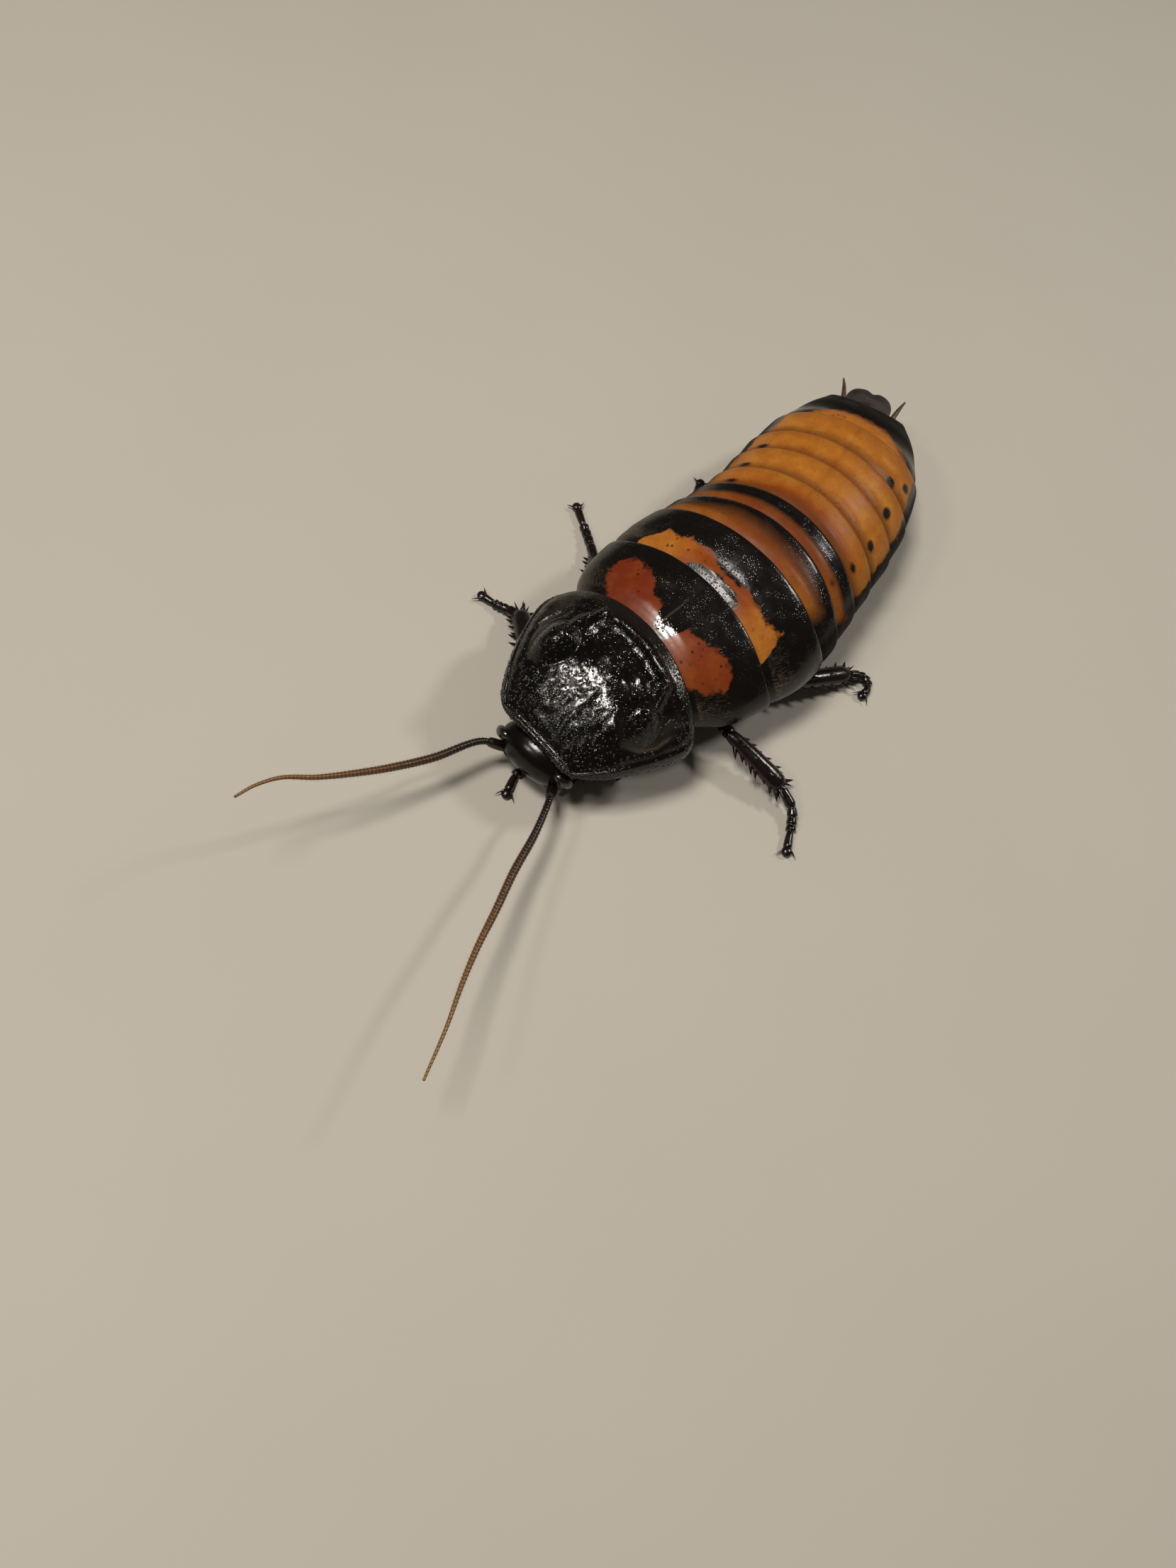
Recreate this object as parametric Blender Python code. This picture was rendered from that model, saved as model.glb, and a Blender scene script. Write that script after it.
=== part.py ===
"""Madagascar hissing cockroach, an adult male, as a still life-size museum model.

The insect faces -Y, with its left side at +X and +Z up. It stands on the floor
at z = 0, with the origin under the middle of its box. Sizes below are in
millimetres along the body: a station is the distance back from the front of
the pronotum along the midline, which bends sideways through the abdomen, and a
height is measured from the plane of the body's side margins.
"""
import math

import bmesh
import bpy
from mathutils import Matrix, Vector

# Scale, frame and clearances, in millimetres
MM = 0.001
FLOOR_DROP = 7.2            # the side margins stand this far above the floor
ORIGIN_X = 1.31             # middle of the box, measured in the body's own frame
ORIGIN_Y = 19.758
GAP = 0.3                   # clear space between any two pieces

# Spine of the body
BEND_START = 26.0           # station where the sideways bend begins
SIDE_SHIFT = ((3.0, -0.25), (9.0, -0.45), (18.0, -0.55), (24.0, -0.45), (30.0, -0.1), (34.0, 0.0))
BEND_RATE = 0.46 / 44.0     # radians for each millimetre of body
HALF_WIDTH = ((13.0, 10.0), (15.4, 10.7), (17.5, 12.2), (20.0, 13.1), (24.9, 13.8), (28.0, 14.1),
              (31.8, 13.7), (36.2, 12.9), (39.5, 12.4), (43.5, 12.0), (48.2, 11.8), (52.5, 11.5),
              (58.0, 10.5), (62.0, 9.0), (65.0, 7.6), (67.0, 6.3), (69.5, 4.7), (71.5, 3.6))
HEIGHT = ((14.0, 5.9), (18.0, 6.75), (24.9, 7.7), (31.8, 9.2), (39.5, 9.6), (46.0, 9.4), (52.5, 8.7),
          (58.0, 7.5), (63.0, 5.5), (66.0, 4.0), (71.5, 1.7))
DEPTH = ((4.0, 2.6), (16.0, 3.0), (28.0, 3.2), (36.0, 4.3), (45.0, 4.8), (58.0, 3.9), (66.0, 2.4),
         (71.5, 1.2))
TAIL_HALF_WIDTH = ((64.0, 3.2), (68.0, 2.8), (71.5, 2.6))

# Plates of the back: each ends at this station and laps over the next one. Its
# sides end further forward than its middle by the second size.
BACK_PLATES = (("mesonotum", 24.9, 1.9), ("metanotum", 31.8, 0.8), ("tergite_1", 36.2, 2.0),
               ("tergite_2", 39.5, 1.2), ("tergite_3", 43.5, 1.2), ("tergite_4", 48.2, 1.0),
               ("tergite_5", 52.5, 0.6), ("tergite_6", 58.0, 0.0), ("tergite_7", 65.6, -2.8))
PRONOTUM_ARCH = 1.9
BELLY_PLATES = (("mesosternum", 24.0), ("metasternum", 32.0), ("sternite_1", 38.5),
                ("sternite_2", 43.5), ("sternite_3", 48.2), ("sternite_4", 52.5),
                ("sternite_5", 58.0), ("subgenital_plate", 68.6))
PRONOTUM_END = 16.3
BELLY_START = 16.0
TAIL_END = 71.5
LIP = 0.6                   # thickness of the free rear edge of a plate
LAP = 1.5                   # how far that edge covers the next plate
BELLY_ARCH = 0.5
BELLY_INSET = 1.0           # the belly plates are this much narrower on each side
NOTCH_REACH = 0.8
BACK_POWER = 1.0
BELLY_POWER = 0.7
MARGIN_TOOTH = 0.8          # rear corner of a plate, past its straight edge
BACK_SEGMENTS = 22
BELLY_SEGMENTS = 14

# Pronotum: half widths at stations that begin at 0 at the front edge, which is
# nearly straight and reaches a little ahead of the midline's own zero
SHIELD_OUTLINE = ((0.0, 3.6), (0.12, 4.8), (0.5, 5.9), (1.2, 6.9), (3.2, 8.65), (5.8, 10.2),
                  (8.9, 11.45), (11.6, 12.1), (13.5, 12.0), (15.0, 11.6), (16.3, 11.0))
SHIELD_REACH = 0.7          # how far the front edge is carried forward
SHIELD_SKEW = 0.7           # its left rear corner lies this much forward, the right as much back
SHIELD_HEIGHT = ((0.0, 0.4), (0.6, 1.0), (1.5, 2.0), (3.0, 3.5), (5.0, 4.9), (8.0, 5.8), (14.0, 6.4))
SHIELD_STATIONS = (0.12, 0.5, 1.2, 2.1, 3.2, 4.5, 5.8, 7.0, 8.2, 9.5, 10.9, 12.2, 13.5, 14.8, 15.8)
SHIELD_WALL = 0.6
SHIELD_SEGMENTS = 36
HORN = (6.7, 7.2)           # lateral place and station of each horn
HORN_HEIGHT = 1.9
HORN_SPREAD = 1.7
RIDGE_CORNER = (5.5, 13.1)
RIDGE_HEIGHT = 0.75
RIDGE_SPREAD = 0.95

# Head
HEAD_CENTRE = (0.3, 0.2, -2.75)
HEAD_HALF = (4.9, 2.8, 2.95)       # half width, half thickness and half length
HEAD_TILT = 33.0                    # degrees, the mouth swings back under the body
HEAD_YAW = 8.0                      # degrees, the head looks a little to its left
EYE_PLACE = (0.93, -0.16, 0.42)     # direction of each eye from the head's middle
EYE_REACH = (0.24, 0.42)            # half sizes of an eye, as parts of the head's curve
EYE_BULGE = 0.6
SOCKET = (0.72, -0.68, -0.02)        # direction of each feeler's socket

# Legs: points are (lateral, station, height) before the body's bend; the feet
# rest with their pads flattened at the floor
FOOT = -FLOOR_DROP


def smooth_value(table, station):
    """Reads a table of (station, value) pairs with a smooth curve through them."""
    stations = [row[0] for row in table]
    values = [row[1] for row in table]
    if station <= stations[0]:
        return values[0]
    if station >= stations[-1]:
        return values[-1]
    i = max(k for k in range(len(stations) - 1) if stations[k] <= station)

    def slope(k):
        low, high = max(k - 1, 0), min(k + 1, len(stations) - 1)
        return (values[high] - values[low]) / (stations[high] - stations[low])

    span = stations[i + 1] - stations[i]
    t = (station - stations[i]) / span
    return ((2 * t ** 3 - 3 * t ** 2 + 1) * values[i] + (t ** 3 - 2 * t ** 2 + t) * span * slope(i)
            + (3 * t ** 2 - 2 * t ** 3) * values[i + 1] + (t ** 3 - t ** 2) * span * slope(i + 1))


def world(x, y, z):
    """Body millimetres to the model's metres."""
    return Vector((x - ORIGIN_X, y - ORIGIN_Y, z + FLOOR_DROP)) * MM


def bent(station, x, z):
    """A point by station, lateral place and height, carried round the bend."""
    x += smooth_value(SIDE_SHIFT, station)
    past = max(0.0, station - BEND_START)
    turn = BEND_RATE * past
    spine_x = -(1.0 - math.cos(turn)) / BEND_RATE
    spine_y = min(station, BEND_START) + math.sin(turn) / BEND_RATE
    return Vector((spine_x + x * math.cos(turn), spine_y + x * math.sin(turn), z))


def place(station, x, z):
    """The same point in the model's metres."""
    return world(*bent(station, x, z))


def material(name, colour, roughness, metallic=0.0):
    """A Principled material from an sRGB hex colour."""
    made = bpy.data.materials.get(name) or bpy.data.materials.new(name)
    made.use_nodes = True
    shader = made.node_tree.nodes["Principled BSDF"]
    channels = [int(colour[i:i + 2], 16) / 255.0 for i in (0, 2, 4)]
    linear = [c / 12.92 if c <= 0.04045 else ((c + 0.055) / 1.055) ** 2.4 for c in channels]
    shader.inputs["Base Color"].default_value = (*linear, 1.0)
    shader.inputs["Roughness"].default_value = roughness
    shader.inputs["Metallic"].default_value = metallic
    return made


def object_from(name, mesh_data, finish, smooth_angle=40.0):
    """Puts a finished mesh in the model's collection with its material."""
    mesh_data.materials.clear()
    mesh_data.materials.append(finish)
    mesh_data.shade_smooth()
    mesh_data.set_sharp_from_angle(angle=math.radians(smooth_angle))
    made = bpy.data.objects.new(name, mesh_data)
    bpy.data.collections["hissing_cockroach"].objects.link(made)
    return made


def mesh_from_rings(name, rings, closed_ring, start=None, end=None, side_caps=False):
    """Skins a list of point rings, with a fan to an end point where one is given."""
    shape = bmesh.new()
    rows = [[shape.verts.new(p) for p in ring] for ring in rings]
    count = len(rows[0])
    steps = count if closed_ring else count - 1
    for low, high in zip(rows, rows[1:]):
        for i in range(steps):
            j = (i + 1) % count
            shape.faces.new((low[i], low[j], high[j], high[i]))
    tips = []
    for row, point in ((rows[0], start), (rows[-1], end)):
        if point is None:
            tips.append(None)
            continue
        tip = shape.verts.new(point)
        tips.append(tip)
        for i in range(steps):
            shape.faces.new((row[i], row[(i + 1) % count], tip))
    if side_caps:
        for column in (0, count - 1):
            edge = [tips[0]] + [row[column] for row in rows] + [tips[1]]
            shape.faces.new([vert for vert in edge if vert is not None])
    shape.normal_update()
    bmesh.ops.triangulate(shape, faces=shape.faces[:], ngon_method="EAR_CLIP")
    bmesh.ops.recalc_face_normals(shape, faces=shape.faces[:])
    made = bpy.data.meshes.new(name)
    shape.to_mesh(made)
    shape.free()
    return made


def half_section(station, drop, segments, side, widths=None, heights=None, edge=None):
    """Arch of points over one side of the margin plane, drop below the skin.

    Each point is its lateral place, its height and its own station; edge moves
    that station along the body by how far across the point lies.
    """
    width_at = widths or (lambda s: smooth_value(HALF_WIDTH, s))
    height_at = heights or (lambda s: smooth_value(HEIGHT if side > 0 else DEPTH, s))
    inset = drop if side > 0 else drop + BELLY_INSET
    power = BACK_POWER if side > 0 else BELLY_POWER
    points = []
    for i in range(segments + 1):
        angle = math.pi * i / segments
        across = math.cos(angle)
        own = edge(station, across) if edge else station
        read = max(own, station) if widths and edge else own
        rise = max(0.0, math.sin(angle)) ** power * (height_at(read) - drop)
        points.append(((width_at(read) - inset) * across, side * (rise + GAP / 2), own))
    return points


def rear_edge(station, arch, across):
    """Station along a plate's rear edge, where across runs from -1 to 1 over the body."""
    return station - arch * across ** 2 + MARGIN_TOOTH * across ** 14


def plate_mesh(name, front, rear, arches, side, segments, last=False, widths=None, notch=0.0, skew=0.0):
    """One plate of the back or belly: a solid half ring with a lapping rear lip."""
    under = LIP + GAP
    middle = 0.5 * (front + rear) + 0.4
    profile = [(front - LAP + GAP, under + 0.35, 0.0), (front - LAP + GAP + 0.35, under, 0.0),
               (front + GAP, under, 0.0), (front + GAP + 0.7, LIP * 0.55, 0.1), (middle, LIP * 0.2, 0.5),
               (rear - 0.45, 0.0, 1.0), (rear, 0.2, 1.0)]
    if not last:
        profile += [(rear, LIP, 1.0), (rear - LAP, LIP, 1.0)]
    rings = []
    for station, drop, share in profile:
        ring = []
        arch = arches[0] + (arches[1] - arches[0]) * share
        lean = skew * (1.0 - share)
        edge = (lambda s, across: rear_edge(s, arch, across) - lean * across) if widths is None else None
        for x, z, own in half_section(station, drop, segments, side, widths, None, edge):
            if station > middle:
                own -= notch * math.exp(-(x / NOTCH_REACH) ** 2)
            ring.append(place(own, x, z))
        rings.append(ring)
    start = place(profile[0][0], 0.0, side * GAP / 2)
    end = place(profile[-1][0] + 0.9 * min(0.0, arches[1]), 0.0, side * GAP / 2)
    return mesh_from_rings(name, rings, False, start, end, side_caps=True)


def shield_half_width(station):
    """Plan outline of the pronotum."""
    return smooth_value(SHIELD_OUTLINE, station)


def shield_height(station):
    """Height of the pronotum's middle above its rim."""
    return smooth_value(SHIELD_HEIGHT, station)


def line_distance(x, y, a, b):
    """Distance in plan from a point to the segment from a to b."""
    dx, dy = b[0] - a[0], b[1] - a[1]
    t = max(0.0, min(1.0, ((x - a[0]) * dx + (y - a[1]) * dy) / (dx * dx + dy * dy)))
    return math.hypot(x - a[0] - t * dx, y - a[1] - t * dy)


def shield_relief(x, station):
    """Horns of the male, the ridge that joins them behind, and the hollow between."""
    side = abs(x)
    horn = HORN_HEIGHT * math.exp(-((side - HORN[0]) ** 2 + (station - HORN[1]) ** 2) / HORN_SPREAD ** 2)
    reach = min(line_distance(side, station, HORN, RIDGE_CORNER),
                line_distance(side, station, RIDGE_CORNER, (0.0, RIDGE_CORNER[1] + 0.9)))
    ridge = RIDGE_HEIGHT * math.exp(-(reach / RIDGE_SPREAD) ** 2)
    hollow = -0.5 * math.exp(-(x / 3.0) ** 2 - ((station - 5.0) / 2.5) ** 2)
    return max(horn, ridge) + hollow


def shield_station(station, across):
    """Carries the shield's front edge forward, and the sides of its rear edge."""
    ahead = SHIELD_REACH * max(0.0, 1.0 - station / 6.0) ** 2
    share = max(0.0, (station - 6.0) / (PRONOTUM_END - 6.0)) ** 2
    return station - ahead - share * (PRONOTUM_ARCH * across ** 2 + SHIELD_SKEW * across)


def pronotum_mesh():
    """The shield over the head: an arched shell with the horns raised in its skin."""
    rings = []
    for station in SHIELD_STATIONS + (PRONOTUM_END,):
        drop = 0.2 if station == PRONOTUM_END else 0.0
        ring = []
        for x, z, own in half_section(station, drop, SHIELD_SEGMENTS, 1, shield_half_width,
                                      shield_height, shield_station):
            ring.append(place(own, x, z + shield_relief(x, station)))
        rings.append(ring)
    for station in (PRONOTUM_END,) + tuple(reversed(SHIELD_STATIONS[3:])):
        drop = LIP if station == PRONOTUM_END else SHIELD_WALL
        ring = []
        for x, z, own in half_section(station, drop, SHIELD_SEGMENTS, 1, shield_half_width,
                                      shield_height, shield_station):
            ring.append(place(own, x, z))
        rings.append(ring)
    tip = place(-SHIELD_REACH, 0.0, GAP)
    inner_tip = place(SHIELD_STATIONS[2] + 0.2, 0.0, GAP)
    return mesh_from_rings("pronotum", rings, False, tip, inner_tip, side_caps=True)


def prothorax_mesh():
    """The first thorax ring, under the shield."""
    rings = []
    stations = (3.5, 4.6, 6.6, 9.0, 11.0, 11.8, 12.3)
    for station in stations:
        taper = 0.55 + 0.45 * math.sin(min(1.0, (station - 2.5) / 5.0) * math.pi / 2)
        half = 8.2 * taper
        inner_half = shield_half_width(station) - SHIELD_WALL - GAP
        inner_high = shield_height(station) - SHIELD_WALL - GAP
        depth = smooth_value(DEPTH, station) * (0.6 + 0.4 * taper)
        ring = []
        for i in range(16):
            angle = math.tau * i / 16
            x = half * math.cos(angle)
            if math.sin(angle) >= 0:
                arch = math.sqrt(max(0.0, 1.0 - (x / inner_half) ** 2))
                z = inner_high * arch * min(1.0, 0.25 + math.sin(angle))
            else:
                z = -depth * (-math.sin(angle)) ** 0.7
            ring.append(place(station, x, z))
        rings.append(ring)
    return mesh_from_rings("prothorax", rings, True, place(stations[0], 0, 0), place(stations[-1], 0, 0))


def head_point(direction, lift=0.0):
    """Point on the head's surface in a direction from its middle, in body millimetres."""
    unit = Vector(direction).normalized()
    low = max(0.0, -unit.z)
    narrow = 1.0 - 0.42 * low ** 1.5
    flat = 1.0 - 0.12 * low
    sizes = Vector((HEAD_HALF[0] * narrow, HEAD_HALF[1] * flat, HEAD_HALF[2]))
    local = Vector([u * size for u, size in zip(unit, sizes)])
    local += lift * Vector([u / size for u, size in zip(unit, sizes)]).normalized()
    yaw = Matrix.Rotation(math.radians(HEAD_YAW), 3, "Z")
    tilt = Matrix.Rotation(math.radians(HEAD_TILT), 3, "X")
    return yaw @ tilt @ local + Vector(HEAD_CENTRE)


def head_mesh():
    """The head, hanging under the front of the shield with its mouth swung back."""
    shape = bmesh.new()
    bmesh.ops.create_uvsphere(shape, u_segments=20, v_segments=12, radius=1.0)
    for vert in shape.verts:
        vert.co = world(*head_point(vert.co))
    bmesh.ops.triangulate(shape, faces=shape.faces[:])
    made = bpy.data.meshes.new("head")
    shape.to_mesh(made)
    shape.free()
    return made


def eye_mesh(hand):
    """A compound eye: a domed patch over the side of the head."""
    centre = Vector((EYE_PLACE[0] * hand, EYE_PLACE[1], EYE_PLACE[2])).normalized()
    up = Vector((0.0, 0.0, 1.0))
    side = centre.cross(up).normalized()
    up = side.cross(centre)
    rings = []
    for share, outer in ((0.5, False), (1.0, False), (1.0, True), (0.85, True), (0.5, True)):
        ring = []
        for i in range(12):
            angle = math.tau * i / 12
            direction = (centre + side * math.cos(angle) * EYE_REACH[0] * share
                         + up * math.sin(angle) * EYE_REACH[1] * share)
            lift = GAP + (0.2 + EYE_BULGE * math.sqrt(1.0 - share ** 2) if outer else 0.0)
            ring.append(world(*head_point(direction, lift)))
        rings.append(ring)
    return mesh_from_rings("eye", rings, True, world(*head_point(centre, GAP)),
                           world(*head_point(centre, GAP + 0.2 + EYE_BULGE)))


def tube_frame(points, i, roll):
    """Two directions across a tube at one of its points."""
    before, after = points[max(i - 1, 0)], points[min(i + 1, len(points) - 1)]
    along = (after - before).normalized()
    side = along.cross(Vector((0.0, 0.0, 1.0)))
    if side.length < 0.05:
        side = along.cross(Vector((0.0, 1.0, 0.0)))
    side.normalize()
    lift = side.cross(along)
    across = side * math.cos(roll) + lift * math.sin(roll)
    return along, across, lift * math.cos(roll) - side * math.sin(roll)


def tube_mesh(name, points, radii, sides=8, flat=1.0, roll=0.0, floor=None):
    """A limb segment: rings of varying radius along a path, with blunt round ends."""
    path = [Vector(p) for p in points]
    rings = []
    count = len(path)
    for i, centre in enumerate(path):
        along, side, lift = tube_frame(path, i, roll)
        ring = []
        for k in range(sides):
            angle = math.tau * (k + 0.5) / sides
            offset = side * math.cos(angle) * radii[i] + lift * math.sin(angle) * radii[i] * flat
            point = centre + offset
            if floor is not None:
                point.z = max(point.z, floor)
            ring.append(world(*point))
        rings.append(ring)
    start_dir = (path[0] - path[1]).normalized()
    end_dir = (path[-1] - path[-2]).normalized()
    start = world(*(path[0] + start_dir * radii[0] * 0.4))
    end = world(*(path[count - 1] + end_dir * radii[-1] * 0.4))
    return mesh_from_rings(name, rings, True, start, end)


def curve_points(points, count):
    """Evenly spaced points on a smooth curve through a few chosen ones."""
    table = [Vector(p) for p in points]
    reach = [0.0]
    for a, b in zip(table, table[1:]):
        reach.append(reach[-1] + (b - a).length)
    result = []
    for i in range(count):
        at = reach[-1] * i / (count - 1)
        result.append(Vector([smooth_value([(r, p[axis]) for r, p in zip(reach, table)], at)
                              for axis in range(3)]))
    return result


def spine_mesh(root, direction, length, radius):
    """A four-sided thorn that starts inside the limb it grows from."""
    along = Vector(direction).normalized()
    side = along.orthogonal().normalized()
    lift = side.cross(along)
    rings = []
    for reach, size in ((-radius * 1.2, radius), (length * 0.45, radius * 0.7)):
        centre = Vector(root) + along * reach
        rings.append([world(*(centre + (side * math.cos(a) + lift * math.sin(a)) * size))
                      for a in (0.3, 0.3 + math.pi / 2, 0.3 + math.pi, 0.3 + 1.5 * math.pi)])
    tip = world(*(Vector(root) + along * length))
    return mesh_from_rings("spine", rings, True, world(*(Vector(root) - along * radius * 1.2)), tip)


def pad_mesh(centre, half, turn):
    """A rounded pad, flattened at the floor."""
    shape = bmesh.new()
    bmesh.ops.create_uvsphere(shape, u_segments=10, v_segments=6, radius=1.0)
    spin = Matrix.Rotation(turn, 3, "Z")
    for vert in shape.verts:
        point = spin @ Vector([c * h for c, h in zip(vert.co, half)]) + Vector(centre)
        point.z = max(point.z, FOOT)
        vert.co = world(*point)
    bmesh.ops.triangulate(shape, faces=shape.faces[:])
    made = bpy.data.meshes.new("pad")
    shape.to_mesh(made)
    shape.free()
    return made


def fuse(name, meshes, finish):
    """Joins closed pieces into one body and keeps its largest surface."""
    base = bpy.data.objects.new(name + "_core", meshes[0])
    bpy.context.scene.collection.objects.link(base)
    helpers = bpy.data.collections.new(name + "_pieces")
    for piece in meshes[1:]:
        helpers.objects.link(bpy.data.objects.new(piece.name, piece))
    joined = base.modifiers.new("join", "BOOLEAN")
    joined.operation = "UNION"
    joined.operand_type = "COLLECTION"
    joined.collection = helpers
    joined.solver = "EXACT"
    graph = bpy.context.evaluated_depsgraph_get()
    result = bpy.data.meshes.new_from_object(base.evaluated_get(graph))
    result.name = name
    bpy.data.objects.remove(base)
    for piece in list(helpers.objects):
        bpy.data.objects.remove(piece)
    bpy.data.collections.remove(helpers)
    keep_largest(result)
    return object_from(name, result, finish)


def keep_largest(mesh_data):
    """Drops every closed surface of a mesh but the largest."""
    shape = bmesh.new()
    shape.from_mesh(mesh_data)
    bmesh.ops.triangulate(shape, faces=shape.faces[:])
    left = set(shape.faces)
    islands = []
    while left:
        start = left.pop()
        island, edge_of = {start}, [start]
        while edge_of:
            for edge in edge_of.pop().edges:
                for face in edge.link_faces:
                    if face in left:
                        left.discard(face)
                        island.add(face)
                        edge_of.append(face)
        islands.append(island)
    islands.sort(key=lambda faces: sum(face.calc_area() for face in faces))
    scraps = [face for island in islands[:-1] for face in island]
    bmesh.ops.delete(shape, geom=scraps, context="FACES")
    shape.to_mesh(mesh_data)
    shape.free()


def setback(joint, before, after, radius_before, radius_after):
    """How far two round limb ends stop short of their joint to keep the gap."""
    one = (Vector(before) - Vector(joint)).normalized()
    two = (Vector(after) - Vector(joint)).normalized()
    half = math.sin(max(0.3, one.angle(two)) / 2)
    return (radius_before + radius_after + GAP) / (2 * half)


def limb(start, end, cut_start, cut_end, count):
    """Evenly spaced points along a straight limb, short of its two joints."""
    a, b = Vector(start), Vector(end)
    along = (b - a).normalized()
    first, last = a + along * cut_start, b - along * cut_end
    return [first.lerp(last, i / (count - 1)) for i in range(count)]


LEG_RADII = {"coxa": (1.5, 2.0, 1.8, 0.8), "femur": (0.7, 1.45, 1.4, 0.8), "tibia": (0.7, 0.92, 0.98, 0.8)}
LEG_FLATNESS = {"coxa": 0.5, "femur": 0.75, "tibia": 0.9}
TARSUS_RADIUS = 0.47
SPINE_RADIUS = 0.26

# Joint points of each leg (x, y, z): hip, trochanter, knee and ankle, then the
# points of the tarsus, whose last one is the middle of the foot pad
LEGS = {
    "front_left": ((2.4, 6.6, -4.1), (3.8, 12.6, -5.0), (8.8, 8.4, -3.5), (2.3, 2.0, -6.45),
                   ((0.9, 0.9, -6.6), (-0.3, -0.4, -6.7), (-0.5, -1.8, -6.72), (0.6, -4.3, -6.72))),
    "front_right": ((-2.4, 6.6, -4.1), (-3.8, 12.6, -5.0), (-10.0, 7.6, -3.1), (-15.8, 12.2, -5.6),
                    ((-17.4, 11.8, -6.3), (-18.6, 11.4, -6.6), (-20.0, 11.0, -6.72), (-21.0, 10.8, -6.72))),
    "middle_left": ((2.8, 16.4, -4.4), (5.0, 23.4, -5.2), (11.6, 19.4, -3.0), (20.4, 20.6, -5.2),
                    ((22.8, 20.1, -5.9), (24.2, 18.9, -6.5), (25.5, 17.0, -6.7), (26.2, 16.0, -6.72))),
    "middle_right": ((-2.8, 16.4, -4.4), (-5.0, 23.4, -5.2), (-11.2, 19.4, -3.0), (-15.9, 24.9, -5.6),
                     ((-18.0, 26.2, -6.2), (-20.0, 27.4, -6.6), (-22.4, 28.6, -6.72), (-24.0, 29.4, -6.72))),
    "hind_left": ((3.0, 25.4, -4.7), (5.4, 33.2, -5.7), (10.6, 28.4, -3.5), (15.2, 39.0, -5.6),
                  ((16.3, 40.6, -6.3), (17.2, 40.9, -6.6), (18.0, 40.2, -6.72), (18.2, 39.0, -6.72))),
    "hind_right": ((-3.0, 25.4, -4.7), (-5.4, 33.2, -5.7), (-10.8, 28.6, -3.5), (-14.8, 38.0, -5.6),
                   ((-15.4, 40.2, -6.3), (-15.8, 42.2, -6.6), (-16.4, 44.0, -6.72), (-17.2, 45.6, -6.72))),
}


def tibia_spines(path, radii, pairs):
    """Thorns along both lower edges of a tibia, and a crown at its ankle."""
    first, last = path[0], path[-1]
    along = (last - first).normalized()
    side = along.cross(Vector((0.0, 0.0, 1.0))).normalized()
    spines = []
    for i in range(pairs):
        t = 0.22 + 0.72 * i / (pairs - 1)
        centre = first.lerp(last, t)
        reach = radii[1] * 0.85
        for hand in (-1.0, 1.0):
            if hand > 0 and i % 2:
                continue
            out = (side * hand + along * 0.75 + Vector((0.0, 0.0, -0.15))).normalized()
            root = centre + side * hand * reach * 0.55
            spines.append(spine_mesh(root, out, 1.5 + reach * 0.5, SPINE_RADIUS))
    return spines


def build_leg(name, points, finish):
    """One leg: coxa, femur, thorned tibia, and tarsus with its pad and claws."""
    hip, trochanter, knee, ankle, toes = points
    coxa_radii, femur_radii, tibia_radii = (LEG_RADII[part] for part in ("coxa", "femur", "tibia"))
    cut_a = setback(trochanter, hip, knee, coxa_radii[-1], femur_radii[0])
    cut_b = setback(knee, trochanter, ankle, femur_radii[-1], tibia_radii[0])
    cut_c = setback(ankle, knee, toes[0], tibia_radii[-1], TARSUS_RADIUS)
    path = limb(hip, trochanter, 0.0, cut_a, 4)
    object_from(name + "_coxa", tube_mesh("coxa", path, coxa_radii, flat=LEG_FLATNESS["coxa"]), finish)
    path = limb(trochanter, knee, cut_a, cut_b, 4)
    object_from(name + "_femur", tube_mesh("femur", path, femur_radii, flat=LEG_FLATNESS["femur"]), finish)
    path = limb(knee, ankle, cut_b, cut_c, 4)
    pieces = [tube_mesh("tibia", path, tibia_radii, flat=LEG_FLATNESS["tibia"])]
    pieces += tibia_spines(path, tibia_radii, 5)
    fuse(name + "_tibia", pieces, finish)
    start = Vector(ankle) + (Vector(toes[0]) - Vector(ankle)).normalized() * cut_c
    path = curve_points((start,) + toes, 15)
    radii = [TARSUS_RADIUS * (1.08 if i % 3 == 2 else 0.86) for i in range(len(path))]
    claw_end = Vector(toes[-1])
    heading = (claw_end - Vector(toes[-2])).normalized()
    pieces = [tube_mesh("tarsus", path[:-1], radii[:-1], sides=7, floor=FOOT)]
    turn = math.atan2(heading.y, heading.x)
    pieces.append(pad_mesh(claw_end, (0.75, 0.8, 0.55), turn))
    across = heading.cross(Vector((0.0, 0.0, 1.0))).normalized()
    for hand in (-1.0, 1.0):
        root = claw_end - heading * 0.3 + across * hand * 0.2 + Vector((0.0, 0.0, 0.1))
        pieces.append(spine_mesh(root, across * hand * 1.0 + heading * 0.5, 1.35, 0.26))
    fuse(name + "_tarsus", pieces, finish)


ANTENNAE = {
    "right": ((-4.6, -4.3, -1.9), (-5.8, -9.8, -0.9), (-7.2, -14.5, 0.4), (-8.5, -18.2, 1.7),
              (-10.0, -21.9, 3.1), (-11.5, -24.8, 4.4), (-11.9, -27.5, 5.6), (-11.7, -30.0, 6.6)),
    "left": ((5.8, -3.7, -2.0), (7.6, -7.3, -1.5), (9.4, -11.8, -0.8), (11.6, -16.4, 0.0),
             (13.4, -20.4, 0.7), (15.4, -24.2, 1.4), (17.7, -28.1, 2.0), (20.2, -33.0, 2.6)),
}


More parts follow.
